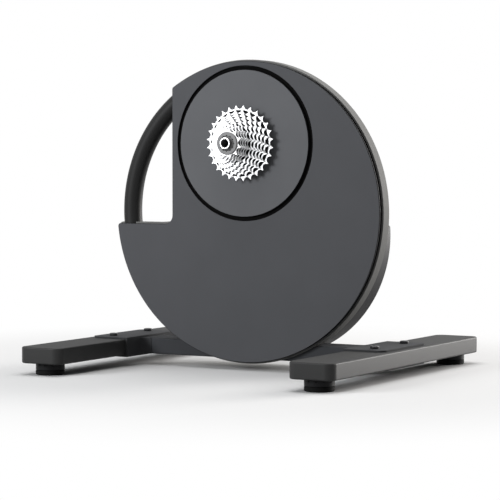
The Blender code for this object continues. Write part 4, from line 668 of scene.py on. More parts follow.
# %% Legs
LEG_CENTRE_X = 0.2315
LEG_HALF_WIDTH = 0.037
LEG_HALF_LENGTH = 0.2565
LEG_UNDERSIDE = 0.018
LEG_CORNER = 0.014
LEG_EDGE = 0.0022
FOOT_Y = 0.225
POCKET_START = 0.092
POCKET_PITCH = 0.056
POCKET_HALF_LENGTH = 0.026
POCKET_HALF_WIDTH = 0.0155
POCKET_ACROSS = 0.0175
POCKET_ROOF = 0.039
POCKET_CORNER = 0.002
STUD_HOLE_RADIUS = 0.0043
STUD_HOLE_TOP = 0.036
SCREW_HOLE_RADIUS = 0.0033
SCREW_HOLE_BOTTOM = 0.0255
SCREW_HOLE_TOP = 0.05
SCREW_PLACES = [(side * LEG_CENTRE_X, y) for side in (-1, 1) for y in (-0.048, 0.054)]


def screw_holes(side, low):
    """Cutters for the two saddle screws on one side of the machine."""
    return [rod(SCREW_HOLE_RADIUS, low, SCREW_HOLE_TOP, (x, y), 24, "z")
            for x, y in SCREW_PLACES if x * side > 0]


for side, name in ((-1, "rear_leg"), (1, "front_leg")):
    centre_x = side * LEG_CENTRE_X
    outline = rounded_box(LEG_HALF_WIDTH, LEG_HALF_LENGTH, LEG_CORNER, (centre_x, 0.0), 12)
    bar = flat([outline], LEG_UNDERSIDE, LEG_TOP, LEG_EDGE, "z", 3)
    pockets = []
    for end_side, row, across in product((-1, 1), (0, 1), (-1, 1)):
        spot = (centre_x + across * POCKET_ACROSS,
                end_side * (POCKET_START + row * POCKET_PITCH + POCKET_HALF_LENGTH))
        pocket = rounded_box(POCKET_HALF_WIDTH, POCKET_HALF_LENGTH, POCKET_CORNER, spot, 4)
        pockets.append(flat([pocket], 0.0, POCKET_ROOF, 0.0, "z"))
    studs = [rod(STUD_HOLE_RADIUS, 0.0, STUD_HOLE_TOP, (centre_x, y), 32, "z")
             for y in (-FOOT_Y, FOOT_Y)]
    holes = pockets + studs + screw_holes(side, SCREW_HOLE_BOTTOM)
    settle(combine(bar, holes), name + "_bar", "leg_coat", [name])

# %% [markdown]
# A saddle clasps the middle of each leg between two plates and is welded to the cross beam. It
# could be put together from boxes, but its section, which is open towards the leg, is quicker to
# draw once and stretch along the leg, and it keeps the plates even. A second outline then rounds
# its corners from above. The beam is a flat bar with softened edges that passes under the body.

# %% Saddles and beam
SADDLE_INNER_X = 0.1910
SADDLE_OUTER_X = 0.2585
SADDLE_WALL_X = 0.1942
SADDLE_HALF_LENGTH = 0.075
LOWER_PLATE = (0.0152, 0.0177)
UPPER_PLATE = (LEG_TOP + FIT, 0.0458)
NECK_X = 0.177
NECK_END_X = SADDLE_INNER_X + 0.0004
NECK_FILLET = 0.014
NECK_REACH = BEAM_HALF_WIDTH + NECK_FILLET
SADDLE_MIDDLE_X = 0.2118
SADDLE_HALF_WIDTH = 0.0468
SADDLE_CORNER = 0.013
BEAM_UNDERSIDE = 0.0175
BEAM_HALF_LENGTH = 0.1757
BOLT_PLACES = [(-0.06, -0.011), (0.06, -0.011)]
BOLT_SEAT = 0.0218

for side, name in ((-1, "rear_saddle"), (1, "front_saddle")):
    section = [(SADDLE_INNER_X, LOWER_PLATE[0]), (SADDLE_OUTER_X, LOWER_PLATE[0]),
               (SADDLE_OUTER_X, LOWER_PLATE[1]), (SADDLE_WALL_X, LOWER_PLATE[1]),
               (SADDLE_WALL_X, UPPER_PLATE[0]), (SADDLE_OUTER_X, UPPER_PLATE[0]),
               (SADDLE_OUTER_X, UPPER_PLATE[1]), (SADDLE_INNER_X, UPPER_PLATE[1])]
    section = section if side > 0 else [(-x, z) for x, z in reversed(section)]
    clasp = flat([section], BEAM_MIDDLE_Y - SADDLE_HALF_LENGTH, BEAM_MIDDLE_Y + SADDLE_HALF_LENGTH)
    round_corners = rounded_box(SADDLE_HALF_WIDTH, SADDLE_HALF_LENGTH + 0.0001, SADDLE_CORNER,
                                (side * SADDLE_MIDDLE_X, BEAM_MIDDLE_Y), 12)
    clasp = combine(clasp, [flat([round_corners], 0.0, 0.06, 0.0, "z")], "INTERSECT")
    neck = arc((NECK_X, -NECK_REACH), NECK_FILLET, 90.0, 0.0, 10)
    neck += [(NECK_END_X, -NECK_REACH), (NECK_END_X, NECK_REACH)]
    neck += arc((NECK_X, NECK_REACH), NECK_FILLET, 0.0, -90.0, 10)
    neck += [(NECK_X - 0.001, BEAM_HALF_WIDTH), (NECK_X - 0.001, -BEAM_HALF_WIDTH)]
    neck = [(side * x, y + BEAM_MIDDLE_Y) for x, y in neck]
    neck = flat([neck if side > 0 else neck[::-1]], BEAM_UNDERSIDE, LEG_TOP, 0.0, "z")
    saddle = combine(combine(clasp, [neck], "UNION"), screw_holes(side, 0.04))
    settle(saddle, name + "_plates", "saddle_coat", [name], 0.0004)

beam_section = rounded_box(BEAM_HALF_WIDTH, (LEG_TOP - BEAM_UNDERSIDE) / 2, 0.0025,
                           (BEAM_MIDDLE_Y, (LEG_TOP + BEAM_UNDERSIDE) / 2), 6)
beam = flat([beam_section], -BEAM_HALF_LENGTH, BEAM_HALF_LENGTH, 0.0008, "x")
bolt_seats = [lathe([(0.0, 0.0441), (0.0043, 0.0441), (0.0043, BOLT_SEAT), (0.0073, BOLT_SEAT),
                     (0.0073, 0.017), (0.0, 0.017)], spot, 32, "z") for spot in BOLT_PLACES]
settle(combine(beam, bolt_seats), "cross_beam", "beam_coat", ["base_beam"])

# %% [markdown]
# Behind the disc, a moulded tray closes the body and swells into a drum over the flywheel. Its wall
# is three millimetres thick. Solidify could give that thickness, but the wall has to make room for
# the beam, the handle and the hub, so the tray is made solid and then cut hollow. Slots in the drum
# let the brake's heat out.

# %% Rear tray and drum
TRAY_INSET = 0.01075
TRAY_FRONT_Y = -0.0094
TRAY_BACK_Y = 0.0050
DRUM_RADIUS = 0.1955
DRUM_HEIGHT = 0.2105
DRUM_RISE = 0.015
DRUM_CORNER = 0.004
DRUM_EDGE = 0.003
DRUM_FRONT_Y = 0.002
DRUM_BACK_Y = 0.0815
WALL = 0.003
LAP = 0.0004
CUT_FRONT_Y = -0.01
CUT_BACK_Y = 0.09
CUT_TOP = 0.36
PASSAGE_TOP = 0.2075
HANDLE_GAP = 0.0033
HANDLE_CUT_EXTRA = 0.004
BOSS_HOLE_RADIUS = 0.0263
INLET = (-0.148, 0.160)
INLET_HOLE = (0.0083, 0.078, 0.082)
TRAY_SCREW_HOLE_RADIUS = 0.0023
TRAY_SCREW_HOLE_DEPTH = 0.0034
REAR_SCREWS = [(0.034730, 0.442462, TRAY_BACK_Y), (-0.115, 0.085, DRUM_BACK_Y),
               (0.115, 0.085, DRUM_BACK_Y)]  # X, Z, and the Y of the surface that each sits in


def drum_outline(inset):
    """The drum's outline: a circle with a flat top and rounded corners."""
    radius = DRUM_RADIUS - inset
    corner = max(DRUM_CORNER - inset, SHARPEST)
    corner_z = DRUM_RISE - inset - corner
    corner_x = math.sqrt((radius - corner) ** 2 - corner_z ** 2)
    angle = math.degrees(math.atan2(corner_z, corner_x))
    points = arc((0.0, 0.0), radius, -180.0 - angle, angle, 150)
    points += arc((corner_x, corner_z), corner, angle, 90.0, 6)[1:]
    points += arc((-corner_x, corner_z), corner, 90.0, 180.0 - angle, 6)[:-1]
    return [(x, z + DRUM_HEIGHT) for x, z in points]


tray = flat([notched_disc(-TRAY_INSET)], TRAY_FRONT_Y, TRAY_BACK_Y)
drum = combine(flat([drum_outline(0.0)], DRUM_FRONT_Y, DRUM_BACK_Y, DRUM_EDGE, rounds=4),
               [slab((CUT_FRONT_Y, TRAY_BACK_Y), (0.0, CUT_TOP))])
room = combine(flat([drum_outline(WALL)], TRAY_BACK_Y, DRUM_BACK_Y - WALL),
               [slab((CUT_FRONT_Y, TUNNEL_BACK_Y + WALL), (0.0, TUNNEL_TOP + WALL))])
passage = combine(flat([drum_outline(2 * WALL)], TRAY_BACK_Y - WALL - LAP, TRAY_BACK_Y + LAP),
                  [slab((CUT_FRONT_Y, CUT_BACK_Y), (TUNNEL_TOP + WALL, PASSAGE_TOP))], "INTERSECT")
hollows = [flat([notched_disc(-TRAY_INSET - WALL)], TRAY_FRONT_Y - LAP, TRAY_BACK_Y - WALL),
           passage, room, slab((COVER_FACE_Y, TUNNEL_BACK_Y), (BELOW_FLOOR, TUNNEL_TOP)),
           rod(BOSS_HOLE_RADIUS, TRAY_FRONT_Y, TRAY_BACK_Y + LAP, AXLE, 96),
           handle_tube(HANDLE_TUBE_RADIUS + FIT + HANDLE_GAP, HANDLE_INSERT + HANDLE_CUT_EXTRA),
           rod(*INLET_HOLE, INLET, 48)]
hollows += [rod(TRAY_SCREW_HOLE_RADIUS, y - TRAY_SCREW_HOLE_DEPTH, y + LAP, (x, z), 24)
            for x, z, y in REAR_SCREWS]
tray = combine(combine(tray, [drum], "UNION"), hollows)
print("tray faces before the vents:", len(tray.polygons))

# %% [markdown]
# Slots, notches, screws and teeth repeat. An Array modifier could copy them, but all its copies are
# alike, while a Geometry Nodes tree works out the length or the place of each from named sizes.
# Small helpers start a tree, make a vector, move a shape, and set copies of it on points.

# %% Tree helpers
SOCKET_KINDS = {int: "NodeSocketInt", float: "NodeSocketFloat", tuple: "NodeSocketVector"}


def new_tree(name, **sizes):
    """An empty Geometry Nodes tree with named inputs. Gives the tree and its inputs."""
    tree = bpy.data.node_groups.new(name, "GeometryNodeTree")
    new_socket = tree.interface.new_socket
    new_socket("Geometry", in_out="INPUT", socket_type="NodeSocketGeometry")
    for label, value in sizes.items():
        kind = SOCKET_KINDS[type(value)]
        new_socket(label, in_out="INPUT", socket_type=kind).default_value = value
    new_socket("Geometry", in_out="OUTPUT", socket_type="NodeSocketGeometry")
    return tree, add(tree, "NodeGroupInput").outputs


def vector(tree, **parts):
    return add(tree, "ShaderNodeCombineXYZ", **parts).outputs[0]


def position(tree):
    return add(tree, "GeometryNodeInputPosition").outputs[0]


def moved(tree, shape, place, turn=(0.0, 0.0, 0.0)):
    return add(tree, "GeometryNodeTransform", Geometry=shape, Translation=place,
               Rotation=turn).outputs[0]


def set_on(tree, points, shape, **inputs):
    """A copy of the shape on every point."""
    return add(tree, "GeometryNodeInstanceOnPoints", Points=points, Instance=shape,
               **inputs).outputs[0]


print("kinds of size:", ", ".join(kind.__name__ for kind in SOCKET_KINDS))

# %% [markdown]
# A socket that takes several shapes is fed by one link each. The last helper runs a tree on a mesh
# and gives a plain mesh back, with no modifier left, before it becomes a piece.

# %% Joining shapes and closing a tree
def fed(node, label, shapes):
    """Join several shapes to one socket, and give the node's result."""
    for shape in shapes:
        node.id_data.links.new(shape, node.inputs[label])
    return node.outputs[0]


def boolean(tree, operation, tools, **inputs):
    settings = {"operation": operation, "solver": "EXACT"}
    return fed(add(tree, "GeometryNodeMeshBoolean", settings, **inputs), "Mesh 2", tools)


def together(tree, shapes):
    return fed(add(tree, "GeometryNodeJoinGeometry"), "Geometry", shapes)


def close_tree(tree, geometry, slot):
    """Every tree ends the same way: instances become real, and the finish is set."""
    real = add(tree, "GeometryNodeRealizeInstances", Geometry=geometry)
    coloured = add(tree, "GeometryNodeSetMaterial", Geometry=real.outputs[0],
                   Material=finishes[slot])
    add(tree, "NodeGroupOutput", _0=coloured.outputs[0])
    print("tree", tree.name, "has", len(tree.nodes), "nodes")


def grown(tree, base=None, **sizes):
    """Run a tree on a mesh with these sizes and return the plain result."""
    holder = bpy.data.objects.new(tree.name, base or bpy.data.meshes.new("empty"))
    modifier = holder.modifiers.new("grow", "NODES")
    modifier.node_group = tree
    for item in tree.interface.items_tree:
        if item.item_type == "SOCKET" and item.in_out == "INPUT" and item.name in sizes:
            modifier[item.identifier] = sizes[item.name]
    return baked(holder)


print("a tree can set any of", len(finishes), "finishes")

# %% [markdown]
# Seven level slots fill a circle in the drum's back. Drawn one by one, they would have to be drawn
# again for any other spacing. Their lengths follow the chord of the circle at each height, so the
# tree works out each length from its place, and cuts the slots with a boolean.

# %% Cooling slots
QUARTER = math.pi / 2
slots, size = new_tree("cooling_slots", Count=7, Pitch=0.014, Height=0.004, Reach=0.062,
                       Middle=(0.0, 0.08, SHAFT_HEIGHT), Depth=0.008)
half_rise = maths(slots, "MULTIPLY", maths(slots, "SUBTRACT", size["Count"], 1.0),
                  maths(slots, "MULTIPLY", size["Pitch"], 0.5))
lowest = vector(slots, Z=maths(slots, "MULTIPLY", half_rise, -1.0))
column = add(slots, "GeometryNodeMeshLine", Count=size["Count"], Start_Location=lowest,
             Offset=vector(slots, Z=size["Pitch"])).outputs["Mesh"]
height = add(slots, "ShaderNodeSeparateXYZ", Vector=position(slots)).outputs["Z"]
chord = maths(slots, "SQRT", maths(slots, "SUBTRACT", maths(slots, "POWER", size["Reach"], 2.0),
                                   maths(slots, "POWER", height, 2.0)))
bar_size = vector(slots, X=2.0, Y=size["Depth"], Z=size["Height"])
bar = add(slots, "GeometryNodeMeshCube", Size=bar_size).outputs["Mesh"]
round_end = add(slots, "GeometryNodeMeshCylinder", Vertices=24, Depth=size["Depth"],
                Radius=maths(slots, "MULTIPLY", size["Height"], 0.5)).outputs["Mesh"]
cutters = [set_on(slots, column, bar, Scale=vector(slots, X=chord, Y=1.0, Z=1.0))]
for way in (-1.0, 1.0):
    ends = add(slots, "GeometryNodeSetPosition", Geometry=column,
               Offset=vector(slots, X=maths(slots, "MULTIPLY", chord, way)))
    cutters.append(set_on(slots, ends.outputs[0], round_end, Rotation=(QUARTER, 0.0, 0.0)))
cutters = add(slots, "GeometryNodeRealizeInstances", Geometry=together(slots, cutters))
cutters = moved(slots, cutters.outputs[0], size["Middle"])
opened = boolean(slots, "DIFFERENCE", [cutters], Mesh_1=size["Geometry"], Self_Intersection=True)
close_tree(slots, opened, "rear_plastic")
settle(grown(slots, tray), "rear_tray", "rear_plastic", ["rear_cover"], 0.0004)

# %% [markdown]
# A cassette is eleven toothed rings on one splined body. All the rings follow one rule: the number
# of teeth sets the size, because a chain has half an inch from pin to pin. Drawing them tooth by
# tooth would take eleven outlines, so one tree grows them all. It bends a circle into teeth with
# pointed tips and wide round valleys, fills it, gives it a thickness, and thins the tips on the
# outer face as a real tooth is thinned to take the chain.

# %% Sprocket tree
STEPS_PER_TOOTH = 16
TIP_SHARE = 0.05
wheel, size = new_tree("sprocket", Teeth=28, Tip=0.059, Deep=0.0063, Thick=0.0016, Bore=0.03,
                       Chamfer=0.0005, Place=(0.0, 0.0, AXLE_HEIGHT), Turn=(QUARTER, 0.0, 0.0))
ring = add(wheel, "GeometryNodeCurvePrimitiveCircle", Radius=1.0,
           Resolution=maths(wheel, "MULTIPLY", size["Teeth"], float(STEPS_PER_TOOTH)))
index = add(wheel, "GeometryNodeInputIndex").outputs[0]
share = maths(wheel, "FRACT", maths(wheel, "DIVIDE", index, float(STEPS_PER_TOOTH)))
off_tip = maths(wheel, "ABSOLUTE", maths(wheel, "SUBTRACT", share, 0.5))
to_valley = maths(wheel, "POWER", ramp(wheel, off_tip, TIP_SHARE, 0.5, 1.0, 0.0), 2.0)
valley = maths(wheel, "SQRT", maths(wheel, "SUBTRACT", 1.0, to_valley))
radius = maths(wheel, "SUBTRACT", size["Tip"], maths(wheel, "MULTIPLY", valley, size["Deep"]))
outline = add(wheel, "GeometryNodeSetPosition", Geometry=ring.outputs[0],
              Position=vector_maths(wheel, "SCALE", Vector=position(wheel), Scale=radius))
hole = add(wheel, "GeometryNodeCurvePrimitiveCircle", Resolution=96, Radius=size["Bore"])
sheet = add(wheel, "GeometryNodeFillCurve",
            Curve=together(wheel, [outline.outputs[0], hole.outputs[0]]))
raised = add(wheel, "GeometryNodeExtrudeMesh", Mesh=sheet.outputs[0], Individual=False,
             Offset_Scale=size["Thick"])
level = vector_maths(wheel, "MULTIPLY", _0=position(wheel), _1=(1.0, 1.0, 0.0))
from_axis = vector_maths(wheel, "LENGTH", Vector=level)
root = maths(wheel, "SUBTRACT", size["Tip"], size["Deep"])
pull = maths(wheel, "MULTIPLY", ramp(wheel, from_axis, root, size["Tip"]), size["Chamfer"])
inward = vector_maths(wheel, "SCALE", Vector=vector_maths(wheel, "NORMALIZE", Vector=level),
                      Scale=maths(wheel, "MULTIPLY", pull, -1.0))
thinned = add(wheel, "GeometryNodeSetPosition", Geometry=raised.outputs["Mesh"],
              Selection=raised.outputs["Top"], Offset=inward)
under = add(wheel, "GeometryNodeFlipFaces", Mesh=sheet.outputs[0])
sealed = add(wheel, "GeometryNodeMergeByDistance", Distance=0.000005,
             Geometry=together(wheel, [thinned.outputs[0], under.outputs[0]]))
close_tree(wheel, moved(wheel, sealed.outputs[0], size["Place"], size["Turn"]), "cog_steel")

# %% [markdown]
# The five largest sprockets are riveted to one carrier and come off together. The six smallest are
# loose, each with a spacer behind it. The carrier and the spacers are black. Each also has a thin
# black plate against the ring behind it, just below its teeth: that plate is painted shade, a dark
# sheet where the smaller ring's shadow falls on the larger one, and it gives the cassette its
# contrast of bright teeth and dark gaps. Each ring is turned a few degrees further than the last,
# as the shift ramps on a real one need.

# %% Eleven sprockets
TEETH = (28, 25, 23, 21, 19, 17, 15, 14, 13, 12, 11)
RIVETED = 5
CHAIN_PITCH = 0.0127
TOOTH_RISE = 0.0024
LARGEST_COG_Y = -0.0477
COG_SPACING = 0.00374
COG_HALF_THICKNESS = 0.0008
COG_TURN = -3.5
CARRIER_BORE = 0.0230
BODY_BORE = 0.0173
CARRIER = [(0.0238, -0.0470), (BODY_BORE, -0.0470), (BODY_BORE, -0.0636), (0.0238, -0.0636)]
CARRIER_RING = (0.0232, 0.0300)
SPACER_RADIUS = 0.0205
SPACER_DROP = 0.0043
CARRIER_SHADE_PLATE_DROP = 0.0056
SPACER_SHADE_PLATE_DROP = 0.0046
COG_GAP = 0.0007
SHADE_PLATE_THICKNESS = 0.0006


def cog_middle(number):
    return LARGEST_COG_Y - COG_SPACING * number


def pitch_radius(number):
    return CHAIN_PITCH / (2 * math.sin(math.pi / TEETH[number]))


def cog(number, bore_radius):
    return grown(wheel, Teeth=TEETH[number], Tip=pitch_radius(number) + TOOTH_RISE,
                 Bore=bore_radius, Turn=(QUARTER, math.radians(COG_TURN * number), 0.0),
                 Place=(0.0, cog_middle(number) + COG_HALF_THICKNESS, AXLE_HEIGHT))


big = [cog(number, CARRIER_BORE) for number in range(RIVETED)]
settle(joined(big), "cluster_sprockets", "cog_steel", ["cog_cluster"], body="freehub")
for number in range(RIVETED, len(TEETH)):
    settle(cog(number, BODY_BORE), f"sprocket_{TEETH[number]}", "cog_steel",
           [f"cog_{TEETH[number]}"], body="freehub")
rings = [hollow(CARRIER, 64)]
for number in range(1, len(TEETH)):
    if number < RIVETED:
        inner, outer = CARRIER_RING
    else:
        inner, outer = BODY_BORE, min(SPACER_RADIUS, pitch_radius(number) - SPACER_DROP)
    # The plate below the teeth of the ring behind is painted shade, where the ring in front casts
    # its shadow.
    shade_plate_drop = CARRIER_SHADE_PLATE_DROP if number <= RIVETED else SPACER_SHADE_PLATE_DROP
    plate = pitch_radius(number - 1) - shade_plate_drop
    front, back = cog_middle(number) + COG_GAP, cog_middle(number - 1) - COG_GAP
    shade_plate_front = back - SHADE_PLATE_THICKNESS
    rings.append(hollow([(outer, front), (inner, front), (inner, back), (plate, back),
                         (plate, shade_plate_front), (outer, shade_plate_front)]))
settle(joined(rings), "cassette_spacers_and_shade_plates", "casting_coat", (), 0.0001, "freehub")

# %% [markdown]
# The lockring clamps the stack. Its mouth has splines for the tool that turns it. They could be
# points in an outline, but the ring's other edges are turned ones, so a tree sets round cutters on
# a circle and takes them out of the turned ring. The feet's knobs use it later.

# %% Notching tree
notching, size = new_tree("notches_round_a_ring", Count=12, Ring=0.012, Cutter=0.001, Long=0.01,
                          Place=(0.0, 0.0, 0.0), Turn=(0.0, 0.0, 0.0))
spots = add(notching, "GeometryNodeMeshCircle", Vertices=size["Count"], Radius=size["Ring"])
pin = add(notching, "GeometryNodeMeshCylinder", Vertices=20, Radius=size["Cutter"],
          Depth=size["Long"])
pins = add(notching, "GeometryNodeRealizeInstances",
           Geometry=set_on(notching, spots.outputs[0], pin.outputs["Mesh"]))
pins = moved(notching, pins.outputs[0], size["Place"], size["Turn"])
notched = boolean(notching, "DIFFERENCE", [pins], Mesh_1=size["Geometry"])
close_tree(notching, notched, "lockring_steel")

# %% [markdown]
# The bright end cap inside the lockring is what the bicycle's frame closes on, and a matching cap
# stands on the far side. The sleeve behind the near cap is part of the same steel cap, but it takes
# the lockring's dark finish as painted shade, for the shade inside the lockring round the bright
# ring. Stacked cylinders would do for the steps, but a profile swept round the axle has the small
# chamfers as well, and they are what shines.

# %% Lockring and end caps
lock = hollow([(0.0170, -0.0882), (0.0175, -0.0877), (0.0175, -0.0862), (0.0150, -0.0862),
               (0.0150, -0.0797), (0.0116, -0.0797), (0.0116, -0.0882)])
lock = grown(notching, lock, Count=12, Ring=0.0119, Cutter=0.0011, Long=0.012,
             Place=(0.0, -0.0850, AXLE_HEIGHT), Turn=(QUARTER, 0.0, 0.0))
settle(lock, "lockring_splined", "lockring_steel", ["lockring"], 0.0002, "freehub")
near_cap = hollow([(0.0070, -0.0946), (0.0083, -0.0946), (0.0086, -0.0943), (0.0086, -0.0937),
                   (0.0068, -0.0937), (0.0068, -0.0944)])
settle(near_cap, "near_end_cap", "cap_steel", ["drive_end_cap"], 0.0001)
# The sleeve belongs to the steel cap; its dark finish is painted shade inside the lockring.
shade_dark_sleeve = hollow([(0.0085, -0.0938), (0.0088, -0.0935), (0.0090, -0.0883), (0.0112, -0.0873),
                 (0.0112, -0.0823), (0.0088, -0.0823), (0.0088, -0.0883), (0.0064, -0.0883),
                 (0.0064, -0.0938)])
settle(shade_dark_sleeve, "near_cap_sleeve_painted_shade", "lockring_steel", (), 0.0001)
far_cap = hollow([(0.0140, 0.0387), (0.0140, 0.0412), (0.0138, 0.0414), (0.0090, 0.0414),
                  (0.0090, 0.0470), (0.0086, 0.0474), (0.0065, 0.0474), (0.0062, 0.0470),
                  (0.0062, 0.0414), (0.0088, 0.0414), (0.0088, 0.0385), (0.0138, 0.0385)])
settle(far_cap, "far_end_cap_turned", "cap_steel", ["far_end_cap"], 0.0002)

# %% [markdown]
# Between the caps runs the fixed hollow axle, and behind the body the casting's boss holds it. Both
# are turned round, so they are swept again with many more steps than the measured model needs. The
# axle takes the lockring's dark finish instead of bright steel: painted shade inside its bore.

# %% Axle and hub boss
# The axle's dark finish is painted shade for the inside of its bore.
tube = hollow([(0.0085, -0.0880), (0.0085, 0.0411), (0.0061, 0.0411), (0.0061, -0.0880)])
settle(tube, "hollow_axle", "lockring_steel", ["hub_axle"])
boss = hollow([(0.0260, 0.0), (0.0260, 0.0060), (0.0257, 0.0068), (0.0169, 0.0377),
               (0.0163, 0.0382), (0.0150, 0.0382), (0.0150, 0.0)], 128)
settle(boss, "hub_boss_turned", "casting_coat")

# %% [markdown]
# Four round feet level the machine. A rubber pad meets the floor, and above it a knob with finger
# notches turns on a threaded stud. The pad only slides, and the knob also turns, so they are two
# pieces on two bodies. The notching tree is used again, this time round the top of each knob.

# %% Feet
FEET = {"rear_drive": (-1, -1), "rear_far": (-1, 1), "front_drive": (1, -1), "front_far": (1, 1)}
FOOT_RADIUS = 0.0220
RIM_RADIUS = 0.0214
KNOB_TOP = 0.0177
STUD_RADIUS = 0.0040

for corner, (side, end_side) in FEET.items():
    spot = (side * LEG_CENTRE_X, end_side * FOOT_Y)
    knob = lathe([(0.0, 0.0357), (0.0034, 0.0357), (STUD_RADIUS, 0.0351), (STUD_RADIUS, KNOB_TOP),
                  (RIM_RADIUS, KNOB_TOP), (FOOT_RADIUS, 0.0171), (FOOT_RADIUS, 0.0081),
                  (RIM_RADIUS, 0.0075), (0.0, 0.0075)], spot, along="z")
    knob = grown(notching, knob, Count=12, Ring=0.0224, Cutter=0.0018, Long=0.008,
                 Place=(*spot, KNOB_TOP), Turn=(0.0, 0.0, math.radians(15.0)))
    settle(knob, f"knob_{corner}_notched", "knob_plastic", [f"foot_knob_{corner}"], 0.0003,
           f"knob_{corner}")
    pad = lathe([(0.0, 0.0072), (RIM_RADIUS, 0.0072), (FOOT_RADIUS, 0.0066),
                 (FOOT_RADIUS, 0.0014), (0.0207, 0.0), (0.0160, 0.0), (0.0154, 0.0008),
                 (0.0130, 0.0008), (0.0124, 0.0), (0.0, 0.0)], spot, along="z")
    settle(pad, f"pad_{corner}_moulded", "foot_rubber", [f"foot_pad_{corner}"], 0.0002,
           f"pad_{corner}")

# %% [markdown]
# All the screws have the same make-up: a round head with a chamfer, a hexagon socket, and a shank.
# One could be modelled and copied by hand, but there are three sizes of them. A tree builds one
# screw from its sizes, and sets a copy of it on every point that it is given.

# %% Screw tree
SCREW_LAP = 0.0002
screw, size = new_tree("socket_screws", Head=0.007, Tall=0.004, Chamfer=0.0012, Hexagon=0.003,
                       Deep=0.0022, Shank=0.003, Long=0.0196, Turn=(0.0, 0.0, 0.0))
straight = maths(screw, "SUBTRACT", size["Tall"], size["Chamfer"])
head = add(screw, "GeometryNodeMeshCylinder", Vertices=40, Radius=size["Head"], Depth=straight)
head = moved(screw, head.outputs["Mesh"], vector(screw, Z=maths(screw, "MULTIPLY", straight, 0.5)))
crown = add(screw, "GeometryNodeMeshCone", Vertices=40, Depth=size["Chamfer"],
            Radius_Top=maths(screw, "SUBTRACT", size["Head"], size["Chamfer"]),
            Radius_Bottom=size["Head"])
crown = moved(screw, crown.outputs["Mesh"], vector(screw, Z=straight))
shank = add(screw, "GeometryNodeMeshCylinder", Vertices=24, Radius=size["Shank"],
            Depth=maths(screw, "ADD", size["Long"], SCREW_LAP))
down = maths(screw, "MULTIPLY", maths(screw, "SUBTRACT", size["Long"], SCREW_LAP), -0.5)
shank = moved(screw, shank.outputs["Mesh"], vector(screw, Z=down))
whole = boolean(screw, "UNION", [head, crown, shank])
hexagon = add(screw, "GeometryNodeMeshCylinder", Vertices=6, Radius=size["Hexagon"],
              Depth=maths(screw, "MULTIPLY", size["Deep"], 2.0))
hexagon = moved(screw, hexagon.outputs["Mesh"], vector(screw, Z=size["Tall"]))
socketed = boolean(screw, "DIFFERENCE", [hexagon], Mesh_1=whole)
placed = set_on(screw, size["Geometry"], socketed, Rotation=size["Turn"])
close_tree(screw, placed, "black_steel")

# %% [markdown]
# Four screws hold the saddles to the legs, two bolts come up through the beam into the casting, and
# three small screws hold the tray. The power socket in the drum's back is a turned cup with a pin.

# %% Screws and power socket
def points(*places):
    """A mesh of loose points for a tree to set things on."""
    mesh = bpy.data.meshes.new("points")
    mesh.from_pydata(list(places), [], [])
    return mesh


HEAD_SEAT = UPPER_PLATE[1] + FIT
screws = grown(screw, points(*[(x, y, HEAD_SEAT) for x, y in SCREW_PLACES]))
settle(screws, "leg_screws", "black_steel",
       [f"saddle_screw_{number}" for number in range(1, 5)], 0.0002)
bolts = grown(screw, points(*[(x, y, BOLT_SEAT) for x, y in BOLT_PLACES]), Shank=0.004,
              Long=0.0315, Chamfer=0.0006, Turn=(math.pi, 0.0, 0.0))
settle(bolts, "body_bolts", "black_steel", ["beam_bolt_1", "beam_bolt_2"], 0.0002)
rear_screws = grown(screw, points(*[(x, y + FIT, z) for x, z, y in REAR_SCREWS]),
                    Head=0.0042, Tall=0.0024, Chamfer=0.0006, Hexagon=0.0018, Deep=0.0012,
                    Shank=0.002, Long=0.0113, Turn=(-QUARTER, 0.0, 0.0))
settle(rear_screws, "tray_screws", "black_steel",
       [f"cover_screw_{number}" for number in range(1, 4)], 0.0002)
LIP_Y = 0.0832
SOCKET_FLOOR_Y = 0.0712
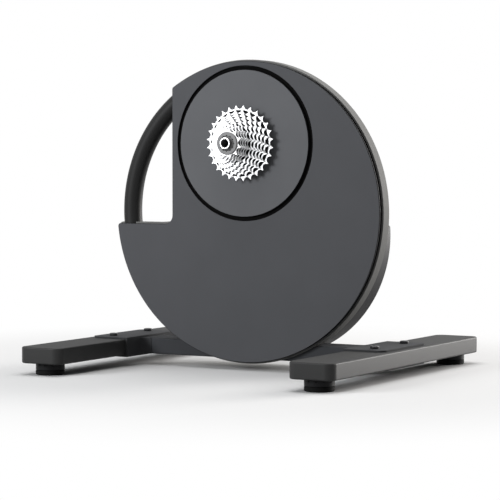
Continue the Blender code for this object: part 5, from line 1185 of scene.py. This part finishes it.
inlet = lathe([(0.0, 0.0672), (0.0080, 0.0672), (0.0080, 0.0818), (0.0103, 0.0818),
               (0.0105, 0.0821), (0.0103, LIP_Y), (0.0070, LIP_Y), (0.0066, LIP_Y - 0.0004),
               (0.0066, SOCKET_FLOOR_Y), (0.0011, SOCKET_FLOOR_Y), (0.0011, LIP_Y - 0.0016),
               (0.0008, LIP_Y - 0.0011), (0.0, LIP_Y - 0.0010)], INLET, 64)
settle(inlet, "power_socket", "knob_plastic", ["power_inlet"], 0.0002)

# %% [markdown]
# The floor is a plain pale sheet that keeps the soft shadow under the machine. Far from the machine
# it turns into plain white, so that no horizon shows. Stronger lamps would whiten it too, but they
# would light the machine as well. For the rays that only carry light the floor is darker, because a
# bright floor would light the machine from below.

# %% Floor
FLOOR_REACH = 14.0
FADE_START = 0.34
FADE_END = 0.92
FLOOR_TONES = (0.68, 0.69)
LIGHT_KEPT = 0.4

floor_shape = bmesh.new()
bmesh.ops.create_grid(floor_shape, x_segments=1, y_segments=1, size=FLOOR_REACH)
floor = bpy.data.objects.new("floor", as_mesh(floor_shape, "floor"))
scene.collection.objects.link(floor)
floor_finish = bpy.data.materials.new("pale_floor")
floor_finish.use_nodes = True
tree = floor_finish.node_tree
tree.nodes.clear()
place = add(tree, "ShaderNodeTexCoord").outputs["Object"]
away = vector_maths(tree, "LENGTH", Vector=place)
fade = ramp(tree, away, FADE_START, FADE_END, kind="SMOOTHSTEP")
speckle = add(tree, "ShaderNodeTexNoise", Vector=place, Scale=220.0, Detail=2.0)
shade = ramp(tree, speckle.outputs["Fac"], 0.0, 1.0, *FLOOR_TONES)
shown = looking(tree)
kept = ramp(tree, shown, 0.0, 1.0, LIGHT_KEPT, 1.0)
matt = add(tree, "ShaderNodeBsdfDiffuse", Color=maths(tree, "MULTIPLY", shade, kept))
glow = add(tree, "ShaderNodeEmission", Strength=1.0)
mixed = add(tree, "ShaderNodeMixShader", _0=maths(tree, "MULTIPLY", fade, shown),
            _1=matt.outputs[0], _2=glow.outputs[0])
add(tree, "ShaderNodeOutputMaterial", Surface=mixed.outputs[0])
floor.data.materials.append(floor_finish)
print("the floor fades to white from", FADE_START, "to", FADE_END, "m")
